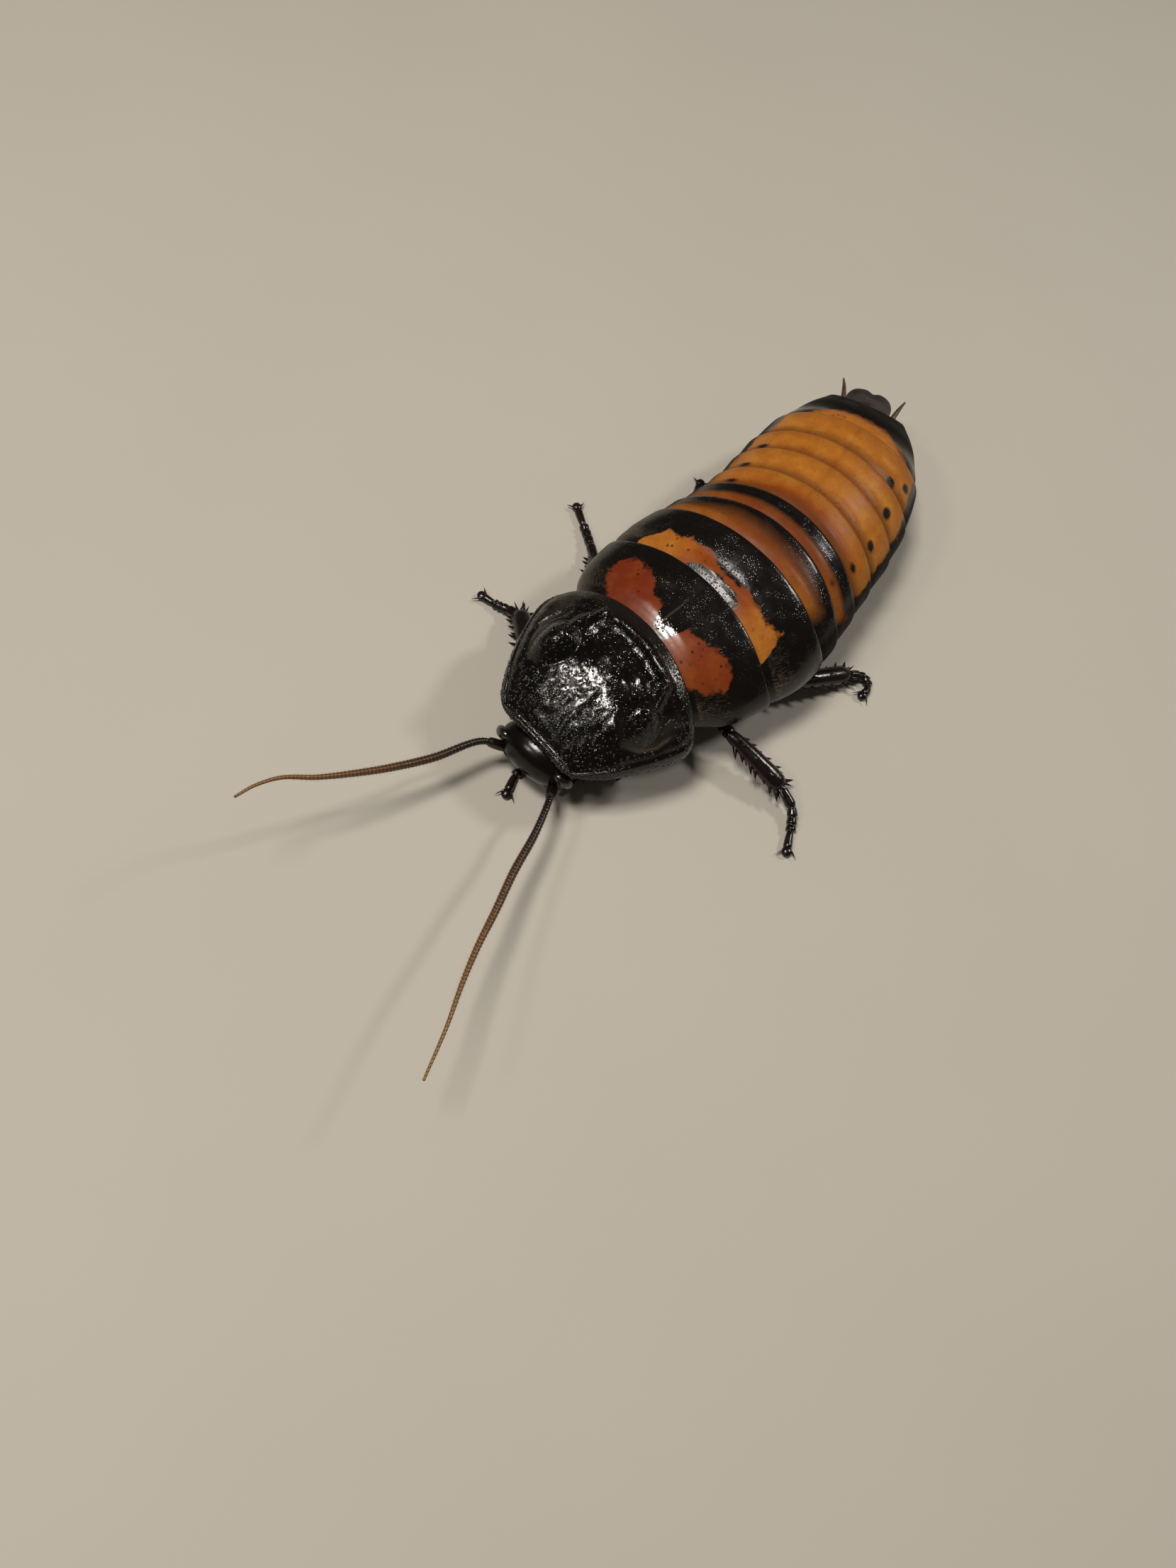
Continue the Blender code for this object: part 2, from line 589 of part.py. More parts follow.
def build_antenna(side, points, finish):
    """A feeler: a stout scape, then a flagellum that thins to its tip."""
    hand = 1.0 if side == "left" else -1.0
    direction = (SOCKET[0] * hand, SOCKET[1], SOCKET[2])
    start = (head_point(direction, GAP + 0.35), head_point(direction, GAP + 1.2))
    path = curve_points(start + points, 26)
    radii = []
    for i in range(len(path)):
        t = i / (len(path) - 1)
        radii.append(0.6 if i < 3 else 0.46 - 0.2 * max(0.0, t - 0.25) / 0.75)
    object_from("antenna_" + side, tube_mesh("antenna", path, radii, sides=7), finish)


def build_palp(side, finish):
    """A jaw feeler, curled forward from beside the mouth."""
    hand = 1.0 if side == "left" else -1.0
    root = head_point((0.66 * hand, -0.35, -0.70), GAP + 0.25)
    path = curve_points((root, root + Vector((0.9 * hand, -0.2, -0.3)),
                         root + Vector((1.1 * hand, -1.5, -0.5))), 5)
    object_from("palp_" + side, tube_mesh("palp", path, (0.27, 0.3, 0.26, 0.3, 0.25), sides=6), finish)


def build_cercus(side, finish):
    """A short tail feeler, from beside the last back plate."""
    hand = 1.0 if side == "left" else -1.0
    root, reach, spread, rise = 65.9, 6.3, 1.2, 0.4
    path = [bent(root + reach * t, hand * (3.35 + spread * t ** 2), 1.1 + rise * t)
            for t in (0.0, 0.25, 0.5, 0.75, 1.0)]
    radii = (0.35, 0.42, 0.45, 0.38, 0.24)
    object_from("cercus_" + side, tube_mesh("cercus", path, radii, sides=7), finish)


def build_body(shell, amber, belly):
    """Shield, plates of the back and the belly, and the tail plate."""
    object_from("pronotum", pronotum_mesh(), shell)
    object_from("prothorax", prothorax_mesh(), belly)
    front, front_arch = PRONOTUM_END, PRONOTUM_ARCH
    for name, rear, arch in BACK_PLATES:
        finish = shell if name in ("mesonotum", "metanotum", "tergite_7") else amber
        skew = SHIELD_SKEW if name == "mesonotum" else 0.0
        arches = (front_arch, arch)
        object_from(name, plate_mesh(name, front, rear, arches, 1, BACK_SEGMENTS, skew=skew), finish)
        front, front_arch = rear, arch
    tail = plate_mesh("supra_anal_plate", front, TAIL_END, (0.0, 0.0), 1, BACK_SEGMENTS, last=True,
                      widths=lambda station: smooth_value(TAIL_HALF_WIDTH, station), notch=1.0)
    object_from("supra_anal_plate", tail, shell)
    front = BELLY_START
    for name, rear in BELLY_PLATES:
        last = name == BELLY_PLATES[-1][0]
        arches = (BELLY_ARCH, BELLY_ARCH)
        object_from(name, plate_mesh(name, front, rear, arches, -1, BELLY_SEGMENTS, last=last), belly)
        front = rear


def main():
    for old in list(bpy.data.objects):
        bpy.data.objects.remove(old)
    bpy.context.scene.collection.children.link(bpy.data.collections.new("hissing_cockroach"))
    shell = material("black_cuticle", "14110F", 0.22)
    amber = material("amber_cuticle", "B06A26", 0.38)
    belly = material("brown_cuticle", "3A2115", 0.4)
    limb_finish = material("leg_cuticle", "17110D", 0.3)
    feeler = material("antenna_cuticle", "3B2112", 0.45)
    build_body(shell, amber, belly)
    object_from("head", head_mesh(), shell)
    for hand, side in ((1.0, "left"), (-1.0, "right")):
        object_from("eye_" + side, eye_mesh(hand), limb_finish)
    for side, points in ANTENNAE.items():
        build_antenna(side, points, feeler)
    for name, points in LEGS.items():
        build_leg(name, points, limb_finish)
    for side in ("left", "right"):
        build_palp(side, feeler)
        build_cercus(side, feeler)


main()
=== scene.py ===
"""Looks of the Madagascar hissing cockroach: an adult male as a still museum model.

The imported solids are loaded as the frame, and each piece here takes the place
of one or more of them at the same size and place. Lengths in the tables are
millimetres along the body, as in the solids: a station is the distance back
from the front of the pronotum along the midline, which bends sideways through
the abdomen, and a height is measured from the plane of the side margins.
"""

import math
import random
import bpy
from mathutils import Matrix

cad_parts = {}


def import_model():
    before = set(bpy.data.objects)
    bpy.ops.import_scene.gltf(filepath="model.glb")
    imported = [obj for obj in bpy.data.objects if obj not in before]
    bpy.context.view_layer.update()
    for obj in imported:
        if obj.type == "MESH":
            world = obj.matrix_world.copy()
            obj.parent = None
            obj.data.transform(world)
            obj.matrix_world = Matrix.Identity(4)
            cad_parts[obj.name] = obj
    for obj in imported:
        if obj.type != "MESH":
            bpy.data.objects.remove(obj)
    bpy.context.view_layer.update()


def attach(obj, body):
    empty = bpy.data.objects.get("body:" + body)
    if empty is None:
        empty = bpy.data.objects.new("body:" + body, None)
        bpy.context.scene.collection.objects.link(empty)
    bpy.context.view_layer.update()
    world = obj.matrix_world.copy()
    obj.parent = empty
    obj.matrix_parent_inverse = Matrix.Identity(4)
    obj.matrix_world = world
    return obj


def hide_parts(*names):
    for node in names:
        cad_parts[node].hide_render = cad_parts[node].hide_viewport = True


bl_info = {
    "name": "Hissing cockroach model",
    "version": (1, 0, 0),
    "blender": (4, 5, 0),
    "location": "3D View > Sidebar > Cockroach",
    "description": "Builds the finished surfaces of a life-size Madagascar hissing cockroach",
    "category": "Object",
}

import bpy
from bpy.props import FloatProperty, FloatVectorProperty, IntProperty, PointerProperty
from mathutils import Matrix, Vector, noise

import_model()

# Scale and frame, in millimetres, as in the solids
MM = 0.001
FLOOR_DROP = 7.2
ORIGIN = (1.31, 19.758)
GAP = 0.3
BEND_START = 26.0
BEND_RATE = 0.46 / 44.0
SIDE_SHIFT = ((3.0, -0.25), (9.0, -0.45), (18.0, -0.55), (24.0, -0.45), (30.0, -0.1), (34.0, 0.0))
HALF_WIDTH = ((13.0, 10.0), (15.4, 10.7), (17.5, 12.2), (20.0, 13.1), (24.9, 13.8), (28.0, 14.1),
              (31.8, 13.7), (36.2, 12.9), (39.5, 12.4), (43.5, 12.0), (48.2, 11.8), (52.5, 11.5),
              (58.0, 10.5), (62.0, 9.0), (65.0, 7.6), (67.0, 6.3), (69.5, 4.7), (71.5, 3.6))
HEIGHT = ((14.0, 5.9), (18.0, 6.75), (24.9, 7.7), (31.8, 9.2), (39.5, 9.6), (46.0, 9.4), (52.5, 8.7),
          (58.0, 7.5), (63.0, 5.5), (66.0, 4.0), (71.5, 1.7))
DEPTH = ((4.0, 2.6), (16.0, 3.0), (28.0, 3.2), (36.0, 4.3), (45.0, 4.8), (58.0, 3.9), (66.0, 2.4),
         (71.5, 1.2))
TAIL_HALF_WIDTH = ((64.0, 3.3), (68.0, 3.15), (71.5, 3.2))
PRONOTUM_END = 16.3
PRONOTUM_ARCH = 1.9
BACK_PLATES = (("mesonotum", 24.9, 1.9), ("metanotum", 31.8, 0.8), ("tergite_1", 36.2, 2.0),
               ("tergite_2", 39.5, 1.2), ("tergite_3", 43.5, 1.2), ("tergite_4", 48.2, 1.0),
               ("tergite_5", 52.5, 0.6), ("tergite_6", 58.0, 0.0), ("tergite_7", 65.6, -2.8))
BELLY_PLATES = (("mesosternum", 24.0), ("metasternum", 32.0), ("sternite_1", 38.5),
                ("sternite_2", 43.5), ("sternite_3", 48.2), ("sternite_4", 52.5),
                ("sternite_5", 58.0), ("subgenital_plate", 68.6))
BELLY_START = 16.0
BELLY_ARCH = 0.5
BELLY_INSET = 1.0
MEMBRANE_INSET = 1.3
BELLY_POWER = 0.7
TAIL_END = 71.5
MARGIN_TOOTH = 0.8

# Pronotum
SHIELD_OUTLINE = ((0.0, 3.6), (0.12, 4.8), (0.5, 5.9), (1.2, 6.9), (3.2, 8.65), (5.8, 10.2), (8.9, 11.45),
                  (11.6, 12.1), (13.5, 12.0), (15.0, 11.6), (16.3, 11.0))
SHIELD_REACH = 0.7
SHIELD_SKEW = 0.7
SHIELD_HEIGHT = ((0.0, 0.4), (0.6, 1.0), (1.5, 2.0), (3.0, 3.5), (5.0, 4.9), (8.0, 5.8), (14.0, 6.4))
HORNS = ((-6.4, 7.4), (7.1, 7.9))
RIDGE_LINE = ((-6.1, 8.4), (-6.0, 11.0), (-4.8, 13.5), (0.0, 14.0), (5.9, 13.4), (7.2, 9.9), (7.6, 8.2))
HORN_GROOVES = (((-7.9, 5.2), (-8.8, 7.0), (-9.2, 8.8), (-8.9, 10.4), (-8.1, 11.6)),
                ((7.4, 4.9), (8.9, 6.4), (9.8, 8.4), (10.0, 11.2)))

# Head
HEAD_CENTRE = (0.3, 0.2, -2.75)
HEAD_HALF = (4.9, 2.8, 2.95)
HEAD_TURN = Matrix.Rotation(math.radians(8.0), 3, "Z") @ Matrix.Rotation(math.radians(33.0), 3, "X")
# Directions from the head's middle to the left eye, feeler socket and palp
EYE_PLACE = (0.93, -0.16, 0.42)
SOCKET = (0.72, -0.68, -0.02)
PALP_PLACE = (0.66, -0.35, -0.70)
# Half width and half height of an eye, as parts of such a direction, and how far it stands out
EYE_HALF = (0.25, 0.43)
EYE_RISE = 0.82

# Legs: hip, trochanter, knee and ankle, then points of the foot, as in the solids
LEGS = {
    "front_left": ((2.4, 6.6, -4.1), (3.8, 12.6, -5.0), (8.8, 8.4, -3.5), (2.3, 2.0, -6.45),
                   ((0.9, 0.9, -6.6), (-0.3, -0.4, -6.7), (-0.5, -1.8, -6.72), (0.6, -4.3, -6.72))),
    "front_right": ((-2.4, 6.6, -4.1), (-3.8, 12.6, -5.0), (-10.0, 7.6, -3.1), (-15.8, 12.2, -5.6),
                    ((-17.4, 11.8, -6.3), (-18.6, 11.4, -6.6), (-20.0, 11.0, -6.72), (-21.0, 10.8, -6.72))),
    "middle_left": ((2.8, 16.4, -4.4), (5.0, 23.4, -5.2), (11.6, 19.4, -3.0), (20.4, 20.6, -5.2),
                    ((22.8, 20.1, -5.9), (24.2, 18.9, -6.5), (25.5, 17.0, -6.7), (26.2, 16.0, -6.72))),
    "middle_right": ((-2.8, 16.4, -4.4), (-5.0, 23.4, -5.2), (-11.2, 19.4, -3.0), (-15.9, 24.9, -5.6),
                     ((-18.0, 26.2, -6.2), (-20.0, 27.4, -6.6), (-22.4, 28.6, -6.72), (-24.0, 29.4, -6.72))),
    "hind_left": ((3.0, 25.4, -4.7), (5.4, 33.2, -5.7), (10.6, 28.4, -3.5), (15.2, 39.0, -5.6),
                  ((16.3, 40.6, -6.3), (17.2, 40.9, -6.6), (18.0, 40.2, -6.72), (18.2, 39.0, -6.72))),
    "hind_right": ((-3.0, 25.4, -4.7), (-5.4, 33.2, -5.7), (-10.8, 28.6, -3.5), (-14.8, 38.0, -5.6),
                   ((-15.4, 40.2, -6.3), (-15.8, 42.2, -6.6), (-16.4, 44.0, -6.72), (-17.2, 45.6, -6.72))),
}
ANTENNAE = {
    "right": ((-4.6, -4.3, -1.9), (-5.8, -9.8, -0.9), (-7.2, -14.5, 0.4), (-8.5, -18.2, 1.7),
              (-10.0, -21.9, 3.1), (-11.5, -24.8, 4.4), (-11.9, -27.5, 5.6), (-11.7, -30.0, 6.6)),
    "left": ((5.8, -3.7, -2.0), (7.6, -7.3, -1.5), (9.4, -11.8, -0.8), (11.6, -16.4, 0.0),
             (13.4, -20.4, 0.7), (15.4, -24.2, 1.4), (17.7, -28.1, 2.0), (20.2, -33.0, 2.6)),
}

# Thorns and grains: the height and the radius of each of their rings of corners, as shares
RING_SIDES = 7
THORN_RINGS = ((-0.12, 1.0), (0.12, 1.0), (0.4, 0.68), (0.72, 0.36))
GRAIN_RINGS = ((-0.3, 1.0), (0.08, 0.9), (0.3, 0.52))
GRAIN_TOP = 0.38
# How far a limb's closed end stands out, as a share of its radius
END_CAP = 0.45
UP = Vector((0.0, 0.0, 1.0))
SIDES = (("left", 1.0), ("right", -1.0))


def linear(code):
    """An sRGB hex colour as linear red, green and blue."""
    parts = [int(code[i:i + 2], 16) / 255 for i in (1, 3, 5)]
    return tuple(p / 12.92 if p <= 0.04045 else ((p + 0.055) / 1.055) ** 2.4 for p in parts)


def opaque(shade):
    """A hex colour or a colour's three parts, as the four numbers that a node takes."""
    return (*(linear(shade) if isinstance(shade, str) else shade), 1.0)


def colour(name, code, description):
    """A colour property that opens at a given hex value."""
    return FloatVectorProperty(name=name, description=description, subtype="COLOR", size=3,
                               min=0.0, max=1.0, default=linear(code))


def length(name, millimetres, description):
    """A length property that opens at a given number of millimetres."""
    return FloatProperty(name=name, description=description, default=millimetres * MM, min=0.0,
                         subtype="DISTANCE", unit="LENGTH", precision=5)


class CockroachSizes(bpy.types.PropertyGroup):
    """Sizes of the details that the solids leave to the finish."""
    shell_thickness: length("Shell thickness", 0.3, "Thickness of each plate's free edge")
    horn_height: length("Horn height", 1.9, "Height of the two knobs of the pronotum")
    granule: length("Granule", 0.13, "Middle radius of the grains that stud the pronotum")
    ring_spacing: length("Feeler ring", 0.42, "Length of one ring of a feeler")
    thorn: length("Thorn", 1.8, "Middle length of the thorns along a tibia")
    hair: length("Hair", 0.5, "Middle length of the short hairs at the thorax sides")
    grain_count: IntProperty(name="Grains", description="How many grains stud the pronotum",
                             default=1900, min=0)


class CockroachColours(bpy.types.PropertyGroup):
    """Colours of the cuticle, feelers, eyes and hairs, and of the floor."""
    black: colour("Black cuticle", "#0a0706", "Shield, thorax and the dark bands")
    rust: colour("Rust", "#65250f", "Middle of the thorax patches")
    orange: colour("Orange", "#844212", "Sides of the thorax patches")
    amber: colour("Amber", "#a06321", "Plates of the abdomen")
    # This brown is partly painted shade, where each plate runs under the one in front, and partly the seams'
    # own brown
    brown: colour("Brown seam", "#5e3210", "Soft shading along the seams between plates")
    leg: colour("Leg", "#0f0907", "Legs")
    feeler_tip: colour("Feeler tip", "#80602f", "Thin end of the feelers")
    belly: colour("Belly", "#62371a", "Plates of the underside")
    # The membrane is darkened as painted shade under the shield's front edge, where it shows between head
    # and shield
    membrane: colour("Membrane", "#4a3828", "Skin between the plates")
    hair: colour("Hair", "#75684f", "Short hairs")
    eye: colour("Eye", "#0f0a08", "Compound eyes")
    floor: colour("Floor", "#aaa69c", "The plain floor")


def smooth_value(table, station):
    """Reads a table of (station, value) pairs with a smooth curve through them."""
    if station <= table[0][0]:
        return table[0][1]
    if station >= table[-1][0]:
        return table[-1][1]
    i = max(k for k in range(len(table) - 1) if table[k][0] <= station)

    def slope(k):
        low, high = table[max(k - 1, 0)], table[min(k + 1, len(table) - 1)]
        return (high[1] - low[1]) / (high[0] - low[0])

    (start, first), (end, last) = table[i], table[i + 1]
    span = end - start
    t = (station - start) / span
    return ((2 * t ** 3 - 3 * t ** 2 + 1) * first + (t ** 3 - 2 * t ** 2 + t) * span * slope(i)
            + (3 * t ** 2 - 2 * t ** 3) * last + (t ** 3 - t ** 2) * span * slope(i + 1))


def even_value(table, place):
    """Reads a table of (place, value) pairs with straight lines between them."""
    if place <= table[0][0]:
        return table[0][1]
    for (start, first), (end, last) in zip(table, table[1:]):
        if place <= end:
            return first + (last - first) * (place - start) / (end - start)
    return table[-1][1]


def world(x, y, z):
    """Body millimetres to the model's metres."""
    return Vector((x - ORIGIN[0], y - ORIGIN[1], z + FLOOR_DROP)) * MM


def place(station, x, z):
    """A point by station, lateral place and height, carried round the bend."""
    x += smooth_value(SIDE_SHIFT, station)
    turn = BEND_RATE * max(0.0, station - BEND_START)
    spine_x = -(1.0 - math.cos(turn)) / BEND_RATE
    spine_y = min(station, BEND_START) + math.sin(turn) / BEND_RATE
    return world(spine_x + x * math.cos(turn), spine_y + x * math.sin(turn), z)


def mirrored(point, hand):
    """A point of the left side, or its mirror image on the right."""
    return Vector((point[0] * hand, point[1], point[2]))


def wave(x, y, size, seed):
    """Smooth noise between about -1 and 1, whose swells are size millimetres across."""
    return noise.noise(Vector((x / size, y / size, seed)))


def bell(value, spread):
    """A smooth hump of height 1 at zero."""
    return math.exp(-(value / spread) ** 2)


def step(low, high, value):
    """A smooth rise from 0 at low to 1 at high."""
    t = max(0.0, min(1.0, (value - low) / (high - low)))
    return t * t * (3.0 - 2.0 * t)


# Making and finishing pieces

def chosen(context):
    """The sizes and the colours that are set in the panel."""
    return context.scene.cockroach_sizes, context.scene.cockroach_colours


def select_only(*pieces):
    """Selects these pieces and no others, because operators act on all that is selected."""
    bpy.ops.object.select_all(action="DESELECT")
    for piece in pieces:
        piece.select_set(True)
    if pieces:
        bpy.context.view_layer.objects.active = pieces[0]


def turned_outwards(piece, merge=False):
    """Turns all faces of a piece outwards, after merging its doubled corners if asked to."""
    select_only(piece)
    bpy.ops.object.mode_set(mode="EDIT")
    bpy.ops.mesh.select_all(action="SELECT")
    if merge:
        bpy.ops.mesh.remove_doubles(threshold=1e-6)
    bpy.ops.mesh.normals_make_consistent(inside=False)
    bpy.ops.object.mode_set(mode="OBJECT")
    return piece


def carried_grid(name, columns, rows, carry, marks=None, merge=False):
    """A grid primitive whose vertices are carried onto a surface.

    carry(u, v) gives a vertex's place, with u and v from 0 to 1, and marks(u, v)
    gives the named numbers that its material reads.
    """
    select_only()
    bpy.ops.mesh.primitive_grid_add(x_subdivisions=columns, y_subdivisions=rows, size=2.0)
    piece = bpy.context.object
    piece.name = piece.data.name = name
    spots = [((v.co.x + 1.0) / 2.0, (v.co.y + 1.0) / 2.0) for v in piece.data.vertices]
    for vertex, (u, v) in zip(piece.data.vertices, spots):
        vertex.co = carry(u, v)
    if marks:
        values = [marks(u, v) for u, v in spots]
        for key in values[0]:
            layer = piece.data.attributes.new(key, "FLOAT", "POINT")
            layer.data.foreach_set("value", [row[key] for row in values])
    return turned_outwards(piece, merge=True) if merge else piece


def shelled(piece, thickness):
    """Gives a plate its wall, inwards from its outer skin."""
    select_only(piece)
    wall = piece.modifiers.new("Wall", "SOLIDIFY")
    wall.thickness = thickness
    wall.offset = -1.0
    wall.use_even_offset = False
    bpy.ops.object.modifier_apply(modifier=wall.name)


def joined(name, pieces):
    """Joins pieces into the first of them, and names it."""
    select_only(*pieces)
    bpy.ops.object.join()
    pieces[0].name = pieces[0].data.name = name
    return pieces[0]


def finish_piece(piece, material, nodes=()):
    """Shades a piece, gives it its material, and sets it on the frame."""
    select_only(piece)
    bpy.ops.object.shade_smooth()
    piece.data.materials.clear()
    piece.data.materials.append(material)
    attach(piece, "root")
    if nodes:
        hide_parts(*nodes)


def gathered(name, parts, uvs=None):
    """One piece from many (corners, faces) pairs, with a map place for each corner if given."""
    vertices, faces = [], []
    for corners, around in parts:
        start = len(vertices)
        vertices += corners
        faces += [tuple(i + start for i in face) for face in around]
    data = bpy.data.meshes.new(name)
    data.from_pydata(vertices, [], faces)
    piece = bpy.data.objects.new(name, data)
    bpy.context.scene.collection.objects.link(piece)
    if uvs:
        layer = data.uv_layers.new(name="OFBake")
        for loop in data.loops:
            layer.data[loop.index].uv = uvs[loop.vertex_index]
    return turned_outwards(piece)


# Paths, tubes, thorns and grains

def curve_points(points, count):
    """Evenly spaced points on a smooth curve through a few chosen ones."""
    reach = [0.0]
    for a, b in zip(points, points[1:]):
        reach.append(reach[-1] + (Vector(b) - Vector(a)).length)
    tables = [[(r, p[axis]) for r, p in zip(reach, points)] for axis in range(3)]
    return [Vector([smooth_value(table, reach[-1] * i / (count - 1)) for table in tables])
            for i in range(count)]


def across_path(path, i):
    """The direction of a path at one of its points, and two directions across it."""
    along = (path[min(i + 1, len(path) - 1)] - path[max(i - 1, 0)]).normalized()
    side = along.cross(UP)
    if side.length < 0.05:
        side = along.cross(Vector((0.0, 1.0, 0.0)))
    side.normalize()
    return along, side, side.cross(along)


def tube(name, path, radius_at, sides=16, flat=1.0, floor=None, marks=None):
    """A round limb along a path of body points, closed at both ends.

    radius_at(t) is its radius in millimetres, with t from 0 to 1 along the path,
    and flat is how tall it is for its width.
    """
    rows = len(path) + 1
    frames = [across_path(path, i) for i in range(len(path))]

    def carry(u, v):
        row = round(v * rows)
        i = min(max(row - 1, 0), len(path) - 1)
        along, side, lift = frames[i]
        size = radius_at(i / (len(path) - 1))
        if row in (0, rows):
            return world(*(path[i] + along * size * (END_CAP if row else -END_CAP)))
        angle = math.tau * u
        point = path[i] + side * math.cos(angle) * size + lift * math.sin(angle) * size * flat
        if floor is not None:
            point.z = max(point.z, floor)
        return world(*point)

    return carried_grid(name, sides, rows, carry, marks, merge=True)


def ring(centre, side, lift, turn=0.0):
    """Corners of a ring, whose two directions across hold its radius."""
    angles = [turn + math.tau * k / RING_SIDES for k in range(RING_SIDES)]
    return [centre + side * math.cos(angle) + lift * math.sin(angle) for angle in angles]


def ring_faces(rings):
    """Faces of a stack of rings that ends in one corner."""
    faces = []
    for row in range(rings - 1):
        for k in range(RING_SIDES):
            a, b = row * RING_SIDES + k, row * RING_SIDES + (k + 1) % RING_SIDES
            faces.append((a, a + RING_SIDES, b + RING_SIDES, b))
    last = (rings - 1) * RING_SIDES
    faces += [(last + k, last + RING_SIDES, last + (k + 1) % RING_SIDES) for k in range(RING_SIDES)]
    faces.append(tuple(range(RING_SIDES)))
    return faces


def thorn(root, direction, reach, radius, bend):
    """Corners and faces of one curved thorn, in metres, from a body point in the limb."""
    along = direction.normalized()
    side = along.orthogonal().normalized()
    lift = side.cross(along)
    corners = []
    for share, size in THORN_RINGS:
        centre = root + along * reach * share + bend * share * share * reach
        corners += ring(centre, side * radius * size, lift * radius * size)
    corners.append(root + (along + bend) * reach)
    return [world(*corner) for corner in corners], ring_faces(len(THORN_RINGS))


def grain(centre, up, size, draw):
    """Corners and faces of one low rounded grain, set in the skin at a point in metres."""
    side = up.orthogonal().normalized()
    other = up.cross(side)
    turn = draw.uniform(0.0, math.tau)
    corners = []
    for height, wide in GRAIN_RINGS:
        corners += ring(centre + up * size * height, side * size * wide, other * size * wide, turn)
    corners.append(centre + up * size * GRAIN_TOP)
    return corners, ring_faces(len(GRAIN_RINGS))


# Materials

def feed(tree, node, inputs):
    """Links or sets inputs of a node. A node given for one stands for its first output."""
    for key, value in dict(inputs).items():
        if isinstance(value, bpy.types.Node):
            value = value.outputs[0]
        if isinstance(value, bpy.types.NodeSocket):
            tree.links.new(value, node.inputs[key])
        else:
            node.inputs[key].default_value = value


def add(tree, kind, inputs=(), stops=(), **settings):
    """Adds a node, with its settings, its colour stops and what feeds each of its inputs."""
    node = tree.nodes.new("ShaderNode" + kind)
    for key, value in settings.items():
        setattr(node, key, value)
    while stops and len(node.color_ramp.elements) < len(stops):
        node.color_ramp.elements.new(1.0)
    for i, (position, shade) in enumerate(stops):
        node.color_ramp.elements[i].position = position
        node.color_ramp.elements[i].color = opaque(shade)
    feed(tree, node, inputs)
    return node


def new_material(name):
    """An empty material, its node tree, its shader and the Object coordinates."""
    material = bpy.data.materials.new(name)
    material.use_nodes = True
    tree = material.node_tree
    return material, tree, tree.nodes["Principled BSDF"], add(tree, "TexCoord").outputs["Object"]


def per_mm(size):
    """Texture scale whose features are size millimetres across."""
    return 1.0 / (size * MM)


def grain_height(tree, at, size, cover):
    """Height of rounded grains, size millimetres across, over part of a surface."""
    cells = add(tree, "TexVoronoi", {"Vector": at, "Scale": per_mm(size)})
    patches = add(tree, "TexNoise", {"Vector": at, "Scale": per_mm(size * 5), "Detail": 2.0})
    dome = add(tree, "MapRange", {0: cells, 1: 0.45, 2: 0.1, 3: 0.0, 4: 1.0})
    field = add(tree, "MapRange", {0: patches, 1: 1.0 - cover, 2: 1.15 - cover, 3: 0.0, 4: 1.0})
    return add(tree, "Math", {0: dome, 1: field}, operation="MULTIPLY")


def black_cuticle(colours):
    """Sclerotised cuticle, tanned black: hard and waxed, with grains that sparkle.

    The marks velvet and arc are where dust dulls it, with a painted sheen along its right side, and where
    its grooves are worn.
    """
    material, tree, shader, at = new_material("sclerotised_cuticle_black")
    velvet, arc = [add(tree, "Attribute", attribute_name=key).outputs["Fac"] for key in ("velvet", "arc")]
    cloud = add(tree, "TexNoise", {"Vector": at, "Scale": per_mm(2.2), "Detail": 4.0})
    deep = add(tree, "ValToRGB", {0: cloud},
               stops=((0.35, [c * 0.5 for c in colours.black]), (0.75, colours.black)))
    # The grey of the velvet is dust, and along the right side it is a painted sheen as well
    greyed_by_dust_and_sheen = add(tree, "Mix", {0: velvet, 6: deep, 7: opaque("#37302a")}, data_type="RGBA").outputs[2]
    worn = add(tree, "Mix", {0: arc, 6: greyed_by_dust_and_sheen, 7: opaque("#4d4136")}, data_type="RGBA").outputs[2]
    gloss = add(tree, "MapRange", {0: cloud, 1: 0.3, 2: 0.75, 3: 0.11, 4: 0.22})
    dull = add(tree, "Math", {0: velvet, 1: 0.45, 2: gloss}, operation="MULTIPLY_ADD")
    grains, pits = grain_height(tree, at, 0.34, 0.62), grain_height(tree, at, 0.16, 0.75)
    rough = add(tree, "Math", {0: pits, 1: -0.2, 2: grains}, operation="MULTIPLY_ADD")
    swell = add(tree, "TexNoise", {"Vector": at, "Scale": per_mm(0.9), "Detail": 3.0})
    height = add(tree, "Math", {0: swell, 1: 0.7, 2: rough}, operation="MULTIPLY_ADD")
    bump = add(tree, "Bump", {"Height": height, "Strength": 0.7, "Distance": 0.05 * MM})
    feed(tree, shader, {"Base Color": worn, "Roughness": dull, "Normal": bump, "IOR": 1.52,
                        "Specular IOR Level": 0.38})
    return material


